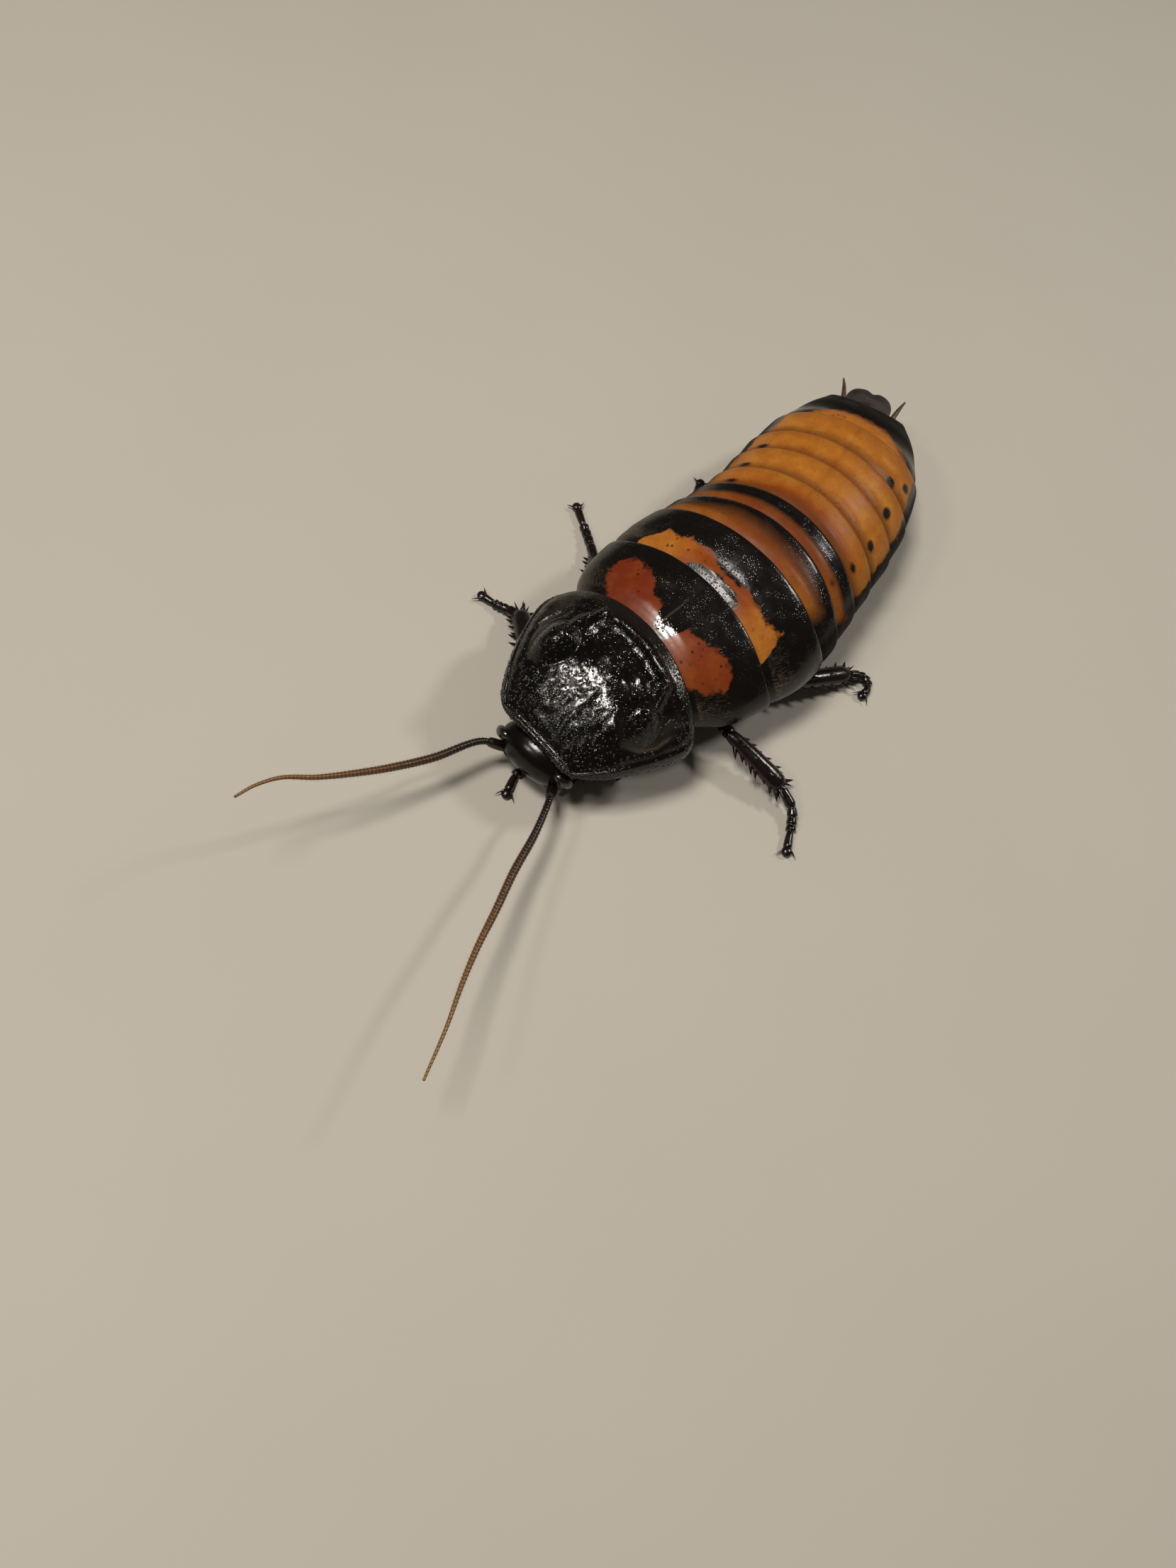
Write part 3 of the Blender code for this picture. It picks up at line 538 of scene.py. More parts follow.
def banded_cuticle(colours):
    """Sclerotised cuticle of the back, amber with black bands and rust patches.

    Eight numbers on each vertex place its colours: dark is how many millimetres
    a point lies inside the black, ragged and soft shape that edge, golden tints the
    amber, seam browns it with the seams' own brown and painted shade behind each
    plate's lip, dust greys it with a painted sheen along the right side as well,
    matt takes its gloss and polish adds some.
    """
    material, tree, shader, at = new_material("sclerotised_cuticle_banded")
    mark = {key: add(tree, "Attribute", attribute_name=key).outputs["Fac"]
            for key in ("dark", "ragged", "soft", "golden", "seam", "dust", "matt", "polish")}

    # Where it is black: inside a ragged edge, and in scattered flecks
    edge = add(tree, "TexNoise", {"Vector": at, "Scale": per_mm(2.2), "Detail": 5.0, "Roughness": 0.6})
    swing = add(tree, "MapRange", {0: edge, 1: 0.25, 2: 0.75, 3: -1.0, 4: 1.0}, clamp=False)
    inside = add(tree, "Math", {0: swing, 1: mark["ragged"], 2: mark["dark"]}, operation="MULTIPLY_ADD")
    share = add(tree, "Math", {0: inside, 1: mark["soft"]}, operation="DIVIDE")
    black = add(tree, "Math", {0: share, 1: 0.5, 2: 0.5}, operation="MULTIPLY_ADD", use_clamp=True)
    specks = add(tree, "TexVoronoi", {"Vector": at, "Scale": per_mm(0.95)})
    speck = add(tree, "MapRange", {0: specks, 1: 0.14, 2: 0.24, 3: 0.9, 4: 0.0})
    thin = add(tree, "TexNoise", {"Vector": at, "Scale": per_mm(2.6), "Detail": 2.0})
    sparse = add(tree, "MapRange", {0: thin, 1: 0.44, 2: 0.52, 3: 0.0, 4: 1.0})
    fleck = add(tree, "Math", {0: speck, 1: sparse}, operation="MULTIPLY")
    flecked = add(tree, "Math", {0: fleck, 1: mark["ragged"]}, operation="MULTIPLY")
    cover = add(tree, "Math", {0: black, 1: flecked}, operation="MAXIMUM")

    # Its colour, browned in the pores and along the seams, where part of the brown is painted shade
    # behind each plate's lip; dust greys it, and along the right side the grey is a painted sheen too
    cloud = add(tree, "TexNoise", {"Vector": at, "Scale": per_mm(1.8), "Detail": 5.0})
    drift = add(tree, "MapRange", {0: cloud, 1: 0.3, 2: 0.7, 3: -0.1, 4: 0.1})
    hue = add(tree, "Math", {0: mark["golden"], 1: drift}, operation="ADD")
    warm = add(tree, "ValToRGB", {0: hue}, stops=((0.05, colours.rust), (0.4, colours.orange),
                                                  (0.75, colours.amber), (1.0, "#b98334")))
    pores = add(tree, "TexVoronoi", {"Vector": at, "Scale": per_mm(0.5)})
    pore = add(tree, "MapRange", {0: pores, 1: 0.14, 2: 0.26, 3: 0.32, 4: 0.0})
    shaded_and_browned = add(tree, "Math", {0: mark["seam"], 1: pore}, operation="ADD", use_clamp=True)
    shade = warm
    for share, over in ((shaded_and_browned, colours.brown), (cover, colours.black), (mark["dust"], "#463c32")):
        shade = add(tree, "Mix", {0: share, 6: shade, 7: opaque(over)}, data_type="RGBA").outputs[2]

    # Its gloss: the black and the polished parts shine, dust and the matt parts don't
    dull = add(tree, "MapRange", {0: cloud, 1: 0.3, 2: 0.7, 3: 0.36, 4: 0.48})
    for share, rise in ((cover, -0.18), (mark["dust"], 0.4), (mark["matt"], 0.3), (mark["polish"], -0.14)):
        dull = add(tree, "Math", {0: share, 1: rise, 2: dull}, operation="MULTIPLY_ADD")
    shine = add(tree, "Math", {0: cover, 1: 0.24, 2: 0.13}, operation="MULTIPLY_ADD")
    bright = add(tree, "Math", {0: mark["polish"], 1: 0.4, 2: shine}, operation="MULTIPLY_ADD")
    glossy = add(tree, "MapRange", {0: mark["matt"], 1: 0.0, 2: 1.0, 3: 1.0, 4: 0.12})
    level = add(tree, "Math", {0: bright, 1: glossy}, operation="MULTIPLY")

    # Its relief: soft swells all over, and grains on the black
    bossed = add(tree, "Math", {0: grain_height(tree, at, 0.26, 0.6), 1: cover}, operation="MULTIPLY")
    swell = add(tree, "TexNoise", {"Vector": at, "Scale": per_mm(0.8), "Detail": 3.0})
    height = add(tree, "Math", {0: swell, 1: 0.8, 2: bossed}, operation="MULTIPLY_ADD")
    bump = add(tree, "Bump", {"Height": height, "Strength": 0.5, "Distance": 0.05 * MM})
    feed(tree, shader, {"Base Color": shade, "Roughness": dull, "Specular IOR Level": level, "Normal": bump,
                        "IOR": 1.5, "Subsurface Weight": 0.08,
                        "Subsurface Radius": (0.6 * MM, 0.3 * MM, 0.12 * MM)})
    return material


def plain_cuticle(name, base, tint, roughness, size, strength, coat=0.2, level=0.5):
    """Cuticle of one colour that drifts towards another, with a fine wrinkled skin."""
    material, tree, shader, at = new_material(name)
    cloud = add(tree, "TexNoise", {"Vector": at, "Scale": per_mm(size * 4), "Detail": 4.0})
    shade = add(tree, "ValToRGB", {0: cloud}, stops=((0.35, base), (0.72, tint)))
    gloss = add(tree, "MapRange", {0: cloud, 1: 0.3, 2: 0.7, 3: roughness * 0.75, 4: roughness * 1.3})
    swell = add(tree, "TexNoise", {"Vector": at, "Scale": per_mm(size), "Detail": 4.0})
    bump = add(tree, "Bump", {"Height": swell, "Strength": strength, "Distance": 0.06 * MM})
    feed(tree, shader, {"Base Color": shade, "Roughness": gloss, "Normal": bump, "IOR": 1.54,
                        "Specular IOR Level": level, "Coat Weight": coat, "Coat Roughness": 0.15})
    return material


def feeler_cuticle(colours):
    """Ringed cuticle of a feeler: black at its root, golden brown and paler outwards."""
    material, tree, shader, at = new_material("ringed_cuticle_feeler")
    reach, seam = [add(tree, "Attribute", attribute_name=key).outputs["Fac"] for key in ("reach", "ring")]
    along = add(tree, "ValToRGB", {0: reach},
                stops=((0.0, colours.leg), (0.18, "#150d08"), (0.32, "#3a230f"), (0.6, "#654420"),
                       (1.0, colours.feeler_tip)))
    shade = add(tree, "Mix", {0: seam, 6: along, 7: opaque("#1d120c")}, data_type="RGBA").outputs[2]
    fine = add(tree, "TexNoise", {"Vector": at, "Scale": per_mm(0.15), "Detail": 3.0})
    bump = add(tree, "Bump", {"Height": fine, "Strength": 0.4, "Distance": 0.03 * MM})
    feed(tree, shader, {"Base Color": shade, "Normal": bump, "Roughness": 0.34, "Coat Weight": 0.2})
    return material


def eye_cuticle(colours):
    """Clear corneal cuticle of an insect's eye over dark cells, in a glossy honeycomb."""
    material, tree, shader, at = new_material("corneal_cuticle_eye")
    # Real facets are 0.03 mm wide; they are drawn at 0.11 mm so that they show
    cells = add(tree, "TexVoronoi", {"Vector": at, "Scale": per_mm(0.11)})
    shade = add(tree, "ValToRGB", {0: cells}, stops=((0.1, "#17100c"), (0.6, colours.eye)))
    dome = add(tree, "MapRange", {0: cells, 1: 0.6, 2: 0.0, 3: 0.0, 4: 1.0})
    bump = add(tree, "Bump", {"Height": dome, "Strength": 0.5, "Distance": 0.03 * MM})
    feed(tree, shader, {"Base Color": shade, "Normal": bump, "Roughness": 0.16, "Coat Weight": 0.6,
                        "Coat Roughness": 0.05})
    return material


def clouded(name, size, detail, dark, light, stops, roughness):
    """A material of one even gloss that clouds between two colours."""
    material, tree, shader, at = new_material(name)
    cloud = add(tree, "TexNoise", {"Vector": at, "Scale": per_mm(size), "Detail": detail})
    shade = add(tree, "ValToRGB", {0: cloud}, stops=((stops[0], dark), (stops[1], light)))
    feed(tree, shader, {"Base Color": shade, "Roughness": roughness})
    return material


def chitin_hair(name, dark, light):
    """Fine chitin hairs, straw-coloured and slightly glossy."""
    return clouded(name, 1.5, 2.0, dark, light, (0.35, 0.65), 0.42)


def floor_paint(colours):
    """Matt painted board, sprayed pale and even."""
    dark = [c * 0.97 for c in colours.floor]
    return clouded("matt_painted_board", 45.0, 3.0, dark, colours.floor, (0.3, 0.7), 0.7)


# Plates of the back

PLATE_ROWS = 26
# Share of a plate's rows, and its station from the front (a), or from the rear (b),
# with how far its skin lies under the outer form and how much of the rear arch it has
PLATE_PROFILE = ((0.0, "a", -1.2, 0.75, 0.0), (0.08, "a", 0.1, 0.46, 0.0), (0.14, "a", 0.55, 0.3, 0.05),
                 (0.22, "a", 1.1, 0.18, 0.12), (0.9, "b", -0.5, 0.0, 1.0), (0.95, "b", -0.16, 0.05, 1.0),
                 (0.98, "b", -0.03, 0.16, 1.0), (1.0, "b", 0.0, 0.34, 1.0))


def plate_tables(front, rear):
    """Station, depth below the outer form and arch share against a plate's rows."""
    stations = [(t, (front if end == "a" else rear) + offset) for t, end, offset, _, _ in PLATE_PROFILE]
    drops = [(t, drop) for t, _, _, drop, _ in PLATE_PROFILE]
    arches = [(t, arch) for t, _, _, _, arch in PLATE_PROFILE]
    return stations, drops, arches


# Swells and dents of the skin: height, the line that they stand to each side of and how far from
# it, their half width, their station and half length. A suture runs along the whole plate
WHOLE = 1e6
SWELLS = {
    "pronotum": ((-0.6, 0.0, 0.0, 3.0, 5.4, 2.6), (-0.4, 0.0, 3.4, 1.5, 9.8, 1.8),
                 (-0.35, 0.0, 8.9, 0.9, 11.4, 1.6)),
    "mesonotum": ((-0.05, 0.0, 0.0, 0.14, 20.0, WHOLE), (0.22, 0.0, 2.6, 3.4, 18.0, 1.3),
                  (-0.25, 0.0, 9.6, 1.6, 20.5, 2.4), (0.16, 0.0, 4.5, 2.4, 22.3, 1.5)),
    "metanotum": ((-0.04, 0.0, 0.0, 0.14, 28.0, WHOLE), (0.4, 0.2, 1.9, 1.6, 25.7, 0.75),
                  (-0.18, 0.0, 10.4, 1.6, 28.0, 2.2), (-0.12, 0.0, 0.0, WHOLE, 27.4, 0.6)),
}


def swells(name, x, station):
    """Millimetres that a plate's swells raise a point, less what its dents take off."""
    return sum(height * bell(abs(x - middle) - apart, wide) * bell(station - own, long)
               for height, middle, apart, wide, own, long in SWELLS.get(name, ()))


def back_relief(name, x, station, front, rear):
    """Millimetres by which a plate's skin stands off its plain arch."""
    t = (station - front) / (rear - front)
    height = 0.05 * wave(x, station, 4.0, 3.0) + 0.02 * wave(x, station, 1.2, 7.0)
    if name == "tergite_7":
        return height + 0.1 * bell(t - 0.55, 0.2) - 0.1 * bell(t - 0.3, 0.12)
    if name in SWELLS:
        return height + swells(name, x, station)
    return height + 0.04 * bell(t - 0.84, 0.12) - 0.05 * bell(t - 0.36, 0.12)


# Lateral place and station of the rear edge of the thorax's patches
MESONOTUM_PATCH = ((-10.2, 18.0), (-9.7, 21.3), (-8.8, 22.2), (-7.7, 22.3), (-6.0, 21.5), (-4.5, 20.5),
                   (-3.1, 19.2), (-1.4, 19.4), (-0.4, 16.6), (1.8, 16.6), (2.5, 19.1), (4.0, 19.7),
                   (5.8, 20.4), (8.2, 21.3), (9.6, 21.3), (10.3, 20.1), (10.7, 15.0))
# Station and half width of the right and left patch, which narrow towards the front
MESONOTUM_ENDS = (((16.0, 6.8), (17.0, 7.6), (18.8, 8.8), (21.3, 9.8)),
                  ((16.2, 7.0), (17.1, 7.7), (18.5, 9.5), (20.1, 10.3)))
METANOTUM_PATCH = ((-11.3, 23.2), (-10.3, 25.8), (-9.0, 28.0), (-6.4, 27.5), (-3.1, 28.1), (-0.8, 27.1),
                   (1.7, 27.2), (3.0, 27.6), (4.6, 27.0), (7.4, 27.5), (9.0, 27.9), (9.9, 27.3),
                   (10.9, 23.2))
# Lateral place, share of the plate's length, and half sizes of its dark spots
SPOTS = {
    "tergite_2": ((8.7, 0.3, 0.3, 0.25),),
    "tergite_3": ((9.2, 0.3, 0.5, 0.4), (-8.9, 0.2, 0.7, 0.35)),
    "tergite_4": ((9.1, 0.28, 0.55, 0.55), (-9.2, 0.2, 0.6, 0.4)),
    "tergite_5": ((8.3, 0.33, 0.6, 0.75), (-9.1, 0.2, 0.6, 0.4)),
    "tergite_6": ((6.6, 0.1, 0.7, 0.8), (8.6, 0.45, 0.5, 0.6)),
}


def back_marks(name, x, station, front, rear):
    """The numbers that place a plate's colours at one point."""
    side = abs(x)
    t = (station - front) / (rear - front)
    half = smooth_value(HALF_WIDTH, station)
    marks = {"dark": -5.0, "ragged": 0.06, "soft": 0.16, "golden": 0.72, "seam": 0.0, "dust": 0.0,
             "matt": 0.0, "polish": 0.0}
    if name == "mesonotum":
        end = side - even_value(MESONOTUM_ENDS[x > 0.0], station)
        glow = 0.1 * (1.0 - step(16.8, 19.2, station)) * step(1.0, 4.0, x)
        marks.update(dark=max(station - even_value(MESONOTUM_PATCH, x), end), ragged=0.85, soft=0.2,
                     golden=0.06 + 0.1 * step(-8.0, 1.0, x) + glow,
                     polish=bell(x - 0.6, 4.0) * bell(station - 17.9, 1.3))
    elif name == "metanotum":
        crescent = 1.0 - math.hypot((x - 0.1) / 3.9, (station - 25.0) / 1.35)
        marks.update(dark=max(station - even_value(METANOTUM_PATCH, x), crescent * 3.2), ragged=0.85,
                     soft=0.2, golden=0.2 + 0.5 * step(1.5, 8.0, side))
    elif name == "tergite_1":
        marks.update(dark=max(station - front - 2.5 + 0.7 * step(4.0, 11.0, side), x - 9.8), ragged=0.25,
                     soft=1.1, golden=0.3 + 0.34 * step(1.0, 9.0, side), seam=0.35 + 0.5 * step(0.1, 0.5, t))
    elif name == "tergite_2":
        marks.update(dark=station - front - 1.5, ragged=0.12, soft=0.3,
                     golden=0.2 + 0.36 * step(3.0, 10.0, side), seam=0.4 + 0.35 * step(0.0, 0.5, t))
    elif name == "tergite_7":
        marks.update(dark=station - front - 2.3 + 2.6 * step(3.0, 8.5, side), ragged=0.5, soft=0.5,
                     golden=0.66, matt=step(0.2, 0.5, t))
    else:
        rusty = 0.6 * bell(t - 0.12, 0.42) * bell(x - 1.0, 8.5) if name == "tergite_3" else 0.0
        # The seam mark is partly painted shade: darkest just behind the plate in front, where that plate's
        # lip shades it, and darker towards this plate's own rear edge; the rest is the seams' own brown
        seam = 0.32 * step(0.45, 0.9, t) + 0.6 * step(0.86, 1.0, t) ** 2 + 0.85 * bell(t - 0.02, 0.22)
        marks.update(golden=0.74 - rusty + 0.06 * step(6.0, 10.0, side), seam=min(0.85, seam + 0.5 * rusty))
    for spot_x, spot_t, wide, long in SPOTS.get(name, ()):
        away = math.hypot((x - spot_x) / wide, (station - front - spot_t * (rear - front)) / long)
        marks["dark"] = max(marks["dark"], (1.0 - away) * min(wide, long))
    marks["seam"] = min(0.9, marks["seam"] + 0.16 * bell(x, 0.3))
    # The outer edge of every plate of the abdomen is black, matt and ragged
    if name.startswith("tergite"):
        black_edge = 0.945 - 0.035 * step(40.0, 50.0, station) - 0.07 * step(50.0, 56.0, station)
        marks["dark"] = max(marks["dark"], side - half * black_edge)
        marks["ragged"] = max(marks["ragged"], 0.5 * step(0.84, 0.9, side / half))
        marks["matt"] = max(marks["matt"], step(0.86, 0.95, side / half))
    # Dust lies in the sutures of the thorax; along the right side the grey is dust and painted sheen
    # together
    along_side = step(16.0, 30.0, station) * (1.0 - step(44.0, 50.0, station))
    marks["dust"] = 0.5 * step(0.8, 0.98, -x / half) * along_side
    if name in SWELLS:
        marks["dust"] += 0.4 * bell(x, 0.08) * (1.0 - step(0.35, 0.8, t))
    return marks


def back_plates():
    """Each plate of the back with its front, its rear, its arch at both and its skew."""
    front, front_arch, skew = PRONOTUM_END, PRONOTUM_ARCH, SHIELD_SKEW
    for name, rear, arch in BACK_PLATES:
        yield name, front, rear, (front_arch, arch), skew
        front, front_arch, skew = rear, arch, 0.0


def back_skin(name, front, rear, arches, skew, widths=HALF_WIDTH, notch=0.0):
    """Functions that carry a grid onto a plate of the back, and that mark it."""
    stations, drops, shares = plate_tables(front, rear)

    def local(u, v):
        across = -math.cos(math.pi * u)
        base = own = even_value(stations, v)
        share = even_value(shares, v)
        if widths is HALF_WIDTH:
            own -= (arches[0] + (arches[1] - arches[0]) * share) * across ** 2
            own += MARGIN_TOOTH * across ** 14 - skew * (1.0 - share) * across
        half = smooth_value(widths, own)
        if notch:
            own -= (notch * bell(half * across, 0.6) + 0.8 * across ** 6) * step(0.3, 1.0, v)
        return across, base, own, half

    def carry(u, v):
        across, base, own, half = local(u, v)
        drop, rise = even_value(drops, v), 0.0
        if v > 0.16:
            shown = step(0.16, 0.3, v) * (1.0 - abs(across) ** 6)
            rise = back_relief(name, half * across, base, front, rear) * shown
        x = (half - drop + rise) * across
        low = 1.0 - 0.18 * step(0.3, 0.8, v) if notch else 1.0
        z = (smooth_value(HEIGHT, own) * low - drop + rise) * math.sin(math.pi * u) + GAP / 2
        return place(own, x, z)

    def marks(u, v):
        across, base, _, half = local(u, v)
        return back_marks(name, half * across, base, front, rear)

    return carry, marks


class BuildBackPlates(bpy.types.Operator):
    """Builds the lapping plates from the mesonotum to the tail"""
    bl_idname = "cockroach.back_plates"
    bl_label = "Back plates"

    def execute(self, context):
        sizes, colours = chosen(context)
        finish = banded_cuticle(colours)
        for plate in back_plates():
            name = plate[0]
            fine = name in ("mesonotum", "metanotum")
            dark = fine or name == "tergite_7"
            carry, marks = back_skin(*plate)
            columns, rows = 200 if fine else 110, 44 if dark else PLATE_ROWS
            piece = carried_grid(name + "_plate", columns, rows, carry, marks)
            shelled(piece, sizes.shell_thickness)
            finish_piece(piece, finish, [name])
        carry, _ = back_skin("supra_anal_plate", plate[2], TAIL_END, (0.0, 0.0), 0.0, TAIL_HALF_WIDTH, 0.75)
        piece = carried_grid("supra_anal_plate_skin", 48, PLATE_ROWS, carry)
        shelled(piece, sizes.shell_thickness)
        tail = plain_cuticle("sclerotised_cuticle_tail", "#120d0a", "#2a2119", 0.55, 0.5, 0.5, coat=0.0)
        finish_piece(piece, tail, ["supra_anal_plate"])
        return {"FINISHED"}


# Pronotum

def shield_station(station, across):
    """Carries the shield's front edge forward, and the sides of its rear edge."""
    ahead = SHIELD_REACH * max(0.0, 1.0 - station / 6.0) ** 2
    share = max(0.0, (station - 6.0) / (PRONOTUM_END - 6.0)) ** 2
    return station - ahead - share * (PRONOTUM_ARCH * across ** 2 + SHIELD_SKEW * across)


def line_distance(x, y, a, b):
    """Distance in plan from a point to the segment from a to b."""
    dx, dy = b[0] - a[0], b[1] - a[1]
    t = max(0.0, min(1.0, ((x - a[0]) * dx + (y - a[1]) * dy) / (dx * dx + dy * dy)))
    return math.hypot(x - a[0] - t * dx, y - a[1] - t * dy)


def path_distance(x, station, path):
    """Distance in plan from a point to a line of several points."""
    return min(line_distance(x, station, a, b) for a, b in zip(path, path[1:]))


def ridge_distance(x, station):
    """Distance from the raised line that joins the horns round the rear of the disc."""
    return path_distance(x, station, RIDGE_LINE)


def groove_distance(x, station):
    """Distance from the sickle-shaped groove outside the nearer horn."""
    return min(path_distance(x, station, groove) for groove in HORN_GROOVES)


def horn_distance(x, station):
    """Distance from the middle of the nearer horn, which is long and gentler on its inner side."""
    reach = []
    for horn_x, middle in HORNS:
        inner = (x - horn_x) * horn_x < 0.0
        reach.append(math.hypot((x - horn_x) * (0.78 if inner else 1.08), (station - middle) * 0.74))
    return min(reach)


def shield_relief(x, station, horn_height):
    """Horns of the male, the ridge that joins them behind, and the hollow between."""
    horn = horn_height * max(0.0, 1.0 - (horn_distance(x, station) / 2.25) ** 2.2) ** 1.2
    horn *= 1.0 + 0.08 * wave(x, station, 0.7, 2.0)
    ridge = 0.8 * bell(ridge_distance(x, station), 0.6)
    hollow = swells("pronotum", x, station) - 0.3 * bell(groove_distance(x, station), 0.4)
    uneven = 0.11 * wave(x, station, 1.7, 11.0) + 0.09 * wave(x, station, 0.8, 5.0)
    disc = step(0.8, 2.0, station) * (1.0 - 0.7 * step(13.6, 14.6, station))
    return max(horn, ridge) + hollow + uneven * disc


def shield_point(u, v, horn_height):
    """A point on the pronotum's outer skin, u across and v along it, with its place in plan."""
    across = -math.cos(math.pi * u)
    station = PRONOTUM_END * v ** 1.35
    drop = 0.22 * step(PRONOTUM_END - 0.25, PRONOTUM_END, station)
    half = smooth_value(SHIELD_OUTLINE, station)
    x = (half - drop) * across
    rise = smooth_value(SHIELD_HEIGHT, station) - drop
    edge = min(half * (1.0 - abs(across)), station * 0.9 + 0.1)
    rim = 0.2 * bell(edge - 0.3, 0.2) - 0.16 * bell(edge - 0.72, 0.26)
    rim *= 1.0 - step(PRONOTUM_END - 4.0, PRONOTUM_END - 1.0, station)
    z = rise * math.sin(math.pi * u) + GAP / 2 + rim
    shape = step(0.02, 0.12, 1.0 - abs(across))
    return (place(shield_station(station, across), x, z + shield_relief(x, station, horn_height) * shape),
            x, station)


class BuildPronotum(bpy.types.Operator):
    """Builds the shield over the head, with its two horns"""
    bl_idname = "cockroach.pronotum"
    bl_label = "Pronotum"

    def execute(self, context):
        sizes, colours = chosen(context)
        horn = sizes.horn_height / MM

        def marks(u, v):
            _, x, station = shield_point(u, v, horn)
            fading = step(5.0, 6.6, station) * (1.0 - step(9.4, 11.4, station))
            arc = 0.7 * bell(groove_distance(x, station), 0.13) * fading
            # Dust greys the crescents beside the horns; the grey along the right side is dust and painted
            # sheen together
            dust = 0.3 * bell(abs(x) - 9.3, 0.8) * bell(station - 10.4, 2.2)
            dust += 0.5 * step(7.5, 10.5, -x) * step(10.5, 13.0, station)
            return {"velvet": min(1.0, dust + 0.15 * step(14.0, 15.2, station)), "arc": arc}

        piece = carried_grid("pronotum_shield", 170, 120, lambda u, v: shield_point(u, v, horn)[0], marks)
        shelled(piece, sizes.shell_thickness)
        finish_piece(piece, black_cuticle(colours), ["pronotum"])
        return {"FINISHED"}


class BuildGrains(bpy.types.Operator):
    """Studs the pronotum with small raised grains"""
    bl_idname = "cockroach.grains"
    bl_label = "Grains"

    def execute(self, context):
        sizes, colours = chosen(context)
        draw = random.Random(11)
        horn, radius = sizes.horn_height / MM, sizes.granule / MM
        parts = []
        while len(parts) < sizes.grain_count:
            u, v = draw.random(), draw.random()
            _, x, station = shield_point(u, v, horn)
            # Grains are thickest at the front, along the ridge and on the horns, and miss the grooves
            chance = 0.16 + 0.9 * bell(x, 5.0) * bell(station - 3.6, 2.8)
            chance += 0.7 * bell(ridge_distance(x, station), 0.5)
            chance += 0.4 * bell(horn_distance(x, station), 1.6)
            chance *= 1.0 - 0.9 * bell(groove_distance(x, station), 0.35)
            if station > 15.0 or draw.random() > chance:
                continue
            size = radius * draw.uniform(0.5, 1.35)
            centre = shield_point(u, v, horn)[0]
            beside = shield_point(min(1.0, u + 0.004), v, horn)[0] - centre
            behind = shield_point(u, min(1.0, v + 0.006), horn)[0] - centre
            up = beside.cross(behind)
            if up.length > 1e-12:
                parts.append(grain(centre, up.normalized(), size * MM, draw))
        finish = plain_cuticle("sclerotised_cuticle_grain", colours.black, "#120c09", 0.14, 0.2, 0.2, 0.0)
        finish_piece(gathered("pronotum_grains", parts), finish)
        return {"FINISHED"}


# Belly

def belly_skin(front, rear):
    """Function that carries a grid onto a plate of the underside."""
    stations, drops, _ = plate_tables(front, rear)

    def carry(u, v):
        across = math.cos(math.pi * u)
        own = even_value(stations, v) - BELLY_ARCH * across ** 2 + MARGIN_TOOTH * across ** 14
        drop = even_value(drops, v)
        half = smooth_value(HALF_WIDTH, own) - BELLY_INSET
        dent = 0.05 * wave(half * across, own, 3.0, 21.0) + 0.1 * bell(v - 0.5, 0.15)
        depth = (smooth_value(DEPTH, own) - drop) * math.sin(math.pi * u) ** BELLY_POWER
        return place(own, (half - drop) * across, -depth + dent * math.sin(math.pi * u) - GAP / 2)

    return carry


class BuildBelly(bpy.types.Operator):
    """Builds the plates of the underside, the first thorax ring and the skin between"""
    bl_idname = "cockroach.belly"
    bl_label = "Belly"

    def execute(self, context):
        sizes, colours = chosen(context)
        finish = plain_cuticle("sclerotised_cuticle_belly", colours.belly, "#3a1c0b", 0.3, 0.6, 0.45)
        front = BELLY_START
        for name, rear in BELLY_PLATES:
            piece = carried_grid(name + "_plate", 72, PLATE_ROWS, belly_skin(front, rear))
            shelled(piece, sizes.shell_thickness)
            finish_piece(piece, finish, [name])
            front = rear
        # Its colour is darkened as painted shade under the shield's front edge
        membrane = plain_cuticle("arthrodial_membrane", colours.membrane, "#241811", 0.5, 0.35, 0.9, 0.05)

        def core(u, v):
            station = 12.8 + 55.9 * v
            half = smooth_value(HALF_WIDTH, station) - MEMBRANE_INSET - BELLY_INSET * 0.6
            up = smooth_value(HEIGHT, station) - MEMBRANE_INSET
            down = smooth_value(DEPTH, station) - MEMBRANE_INSET * 0.9
            angle = math.tau * u
            # Its rear end is rounded off, and its front is closed flat under the shield
            scale = math.sqrt(max(0.0, 1.0 - max(0.0, (v - 0.972) / 0.028) ** 2)) if v > 0.0 else 0.0
            z = (up if math.sin(angle) > 0 else down) * math.sin(angle)
            return place(station, half * math.cos(angle) * scale, z * scale)

        piece = carried_grid("body_membrane", 64, 60, core, merge=True)
        finish_piece(piece, membrane)

        def thorax(u, v):
            # The ring widens backwards under the shield, and stays a millimetre inside it
            station = 3.3 + 9.0 * v
            taper = 0.55 + 0.45 * math.sin(min(1.0, (station - 2.5) / 5.0) * math.pi / 2)
            scale = 0.0 if v in (0.0, 1.0) else 1.0
            inner_half = smooth_value(SHIELD_OUTLINE, station) - 1.0
            angle = math.tau * u
            x = 8.1 * taper * math.cos(angle)
            if math.sin(angle) >= 0:
                z = (smooth_value(SHIELD_HEIGHT, station) - 1.0) * min(1.0, 0.25 + math.sin(angle))
                z *= math.sqrt(max(0.0, 1.0 - (x / inner_half) ** 2))
            else:
                z = -smooth_value(DEPTH, station) * (0.6 + 0.4 * taper) * (-math.sin(angle)) ** 0.7
            return place(station, x * scale, z * scale)

        piece = carried_grid("prothorax_ring", 48, 24, thorax, merge=True)
        finish_piece(piece, membrane, ["prothorax"])
        return {"FINISHED"}


# Head

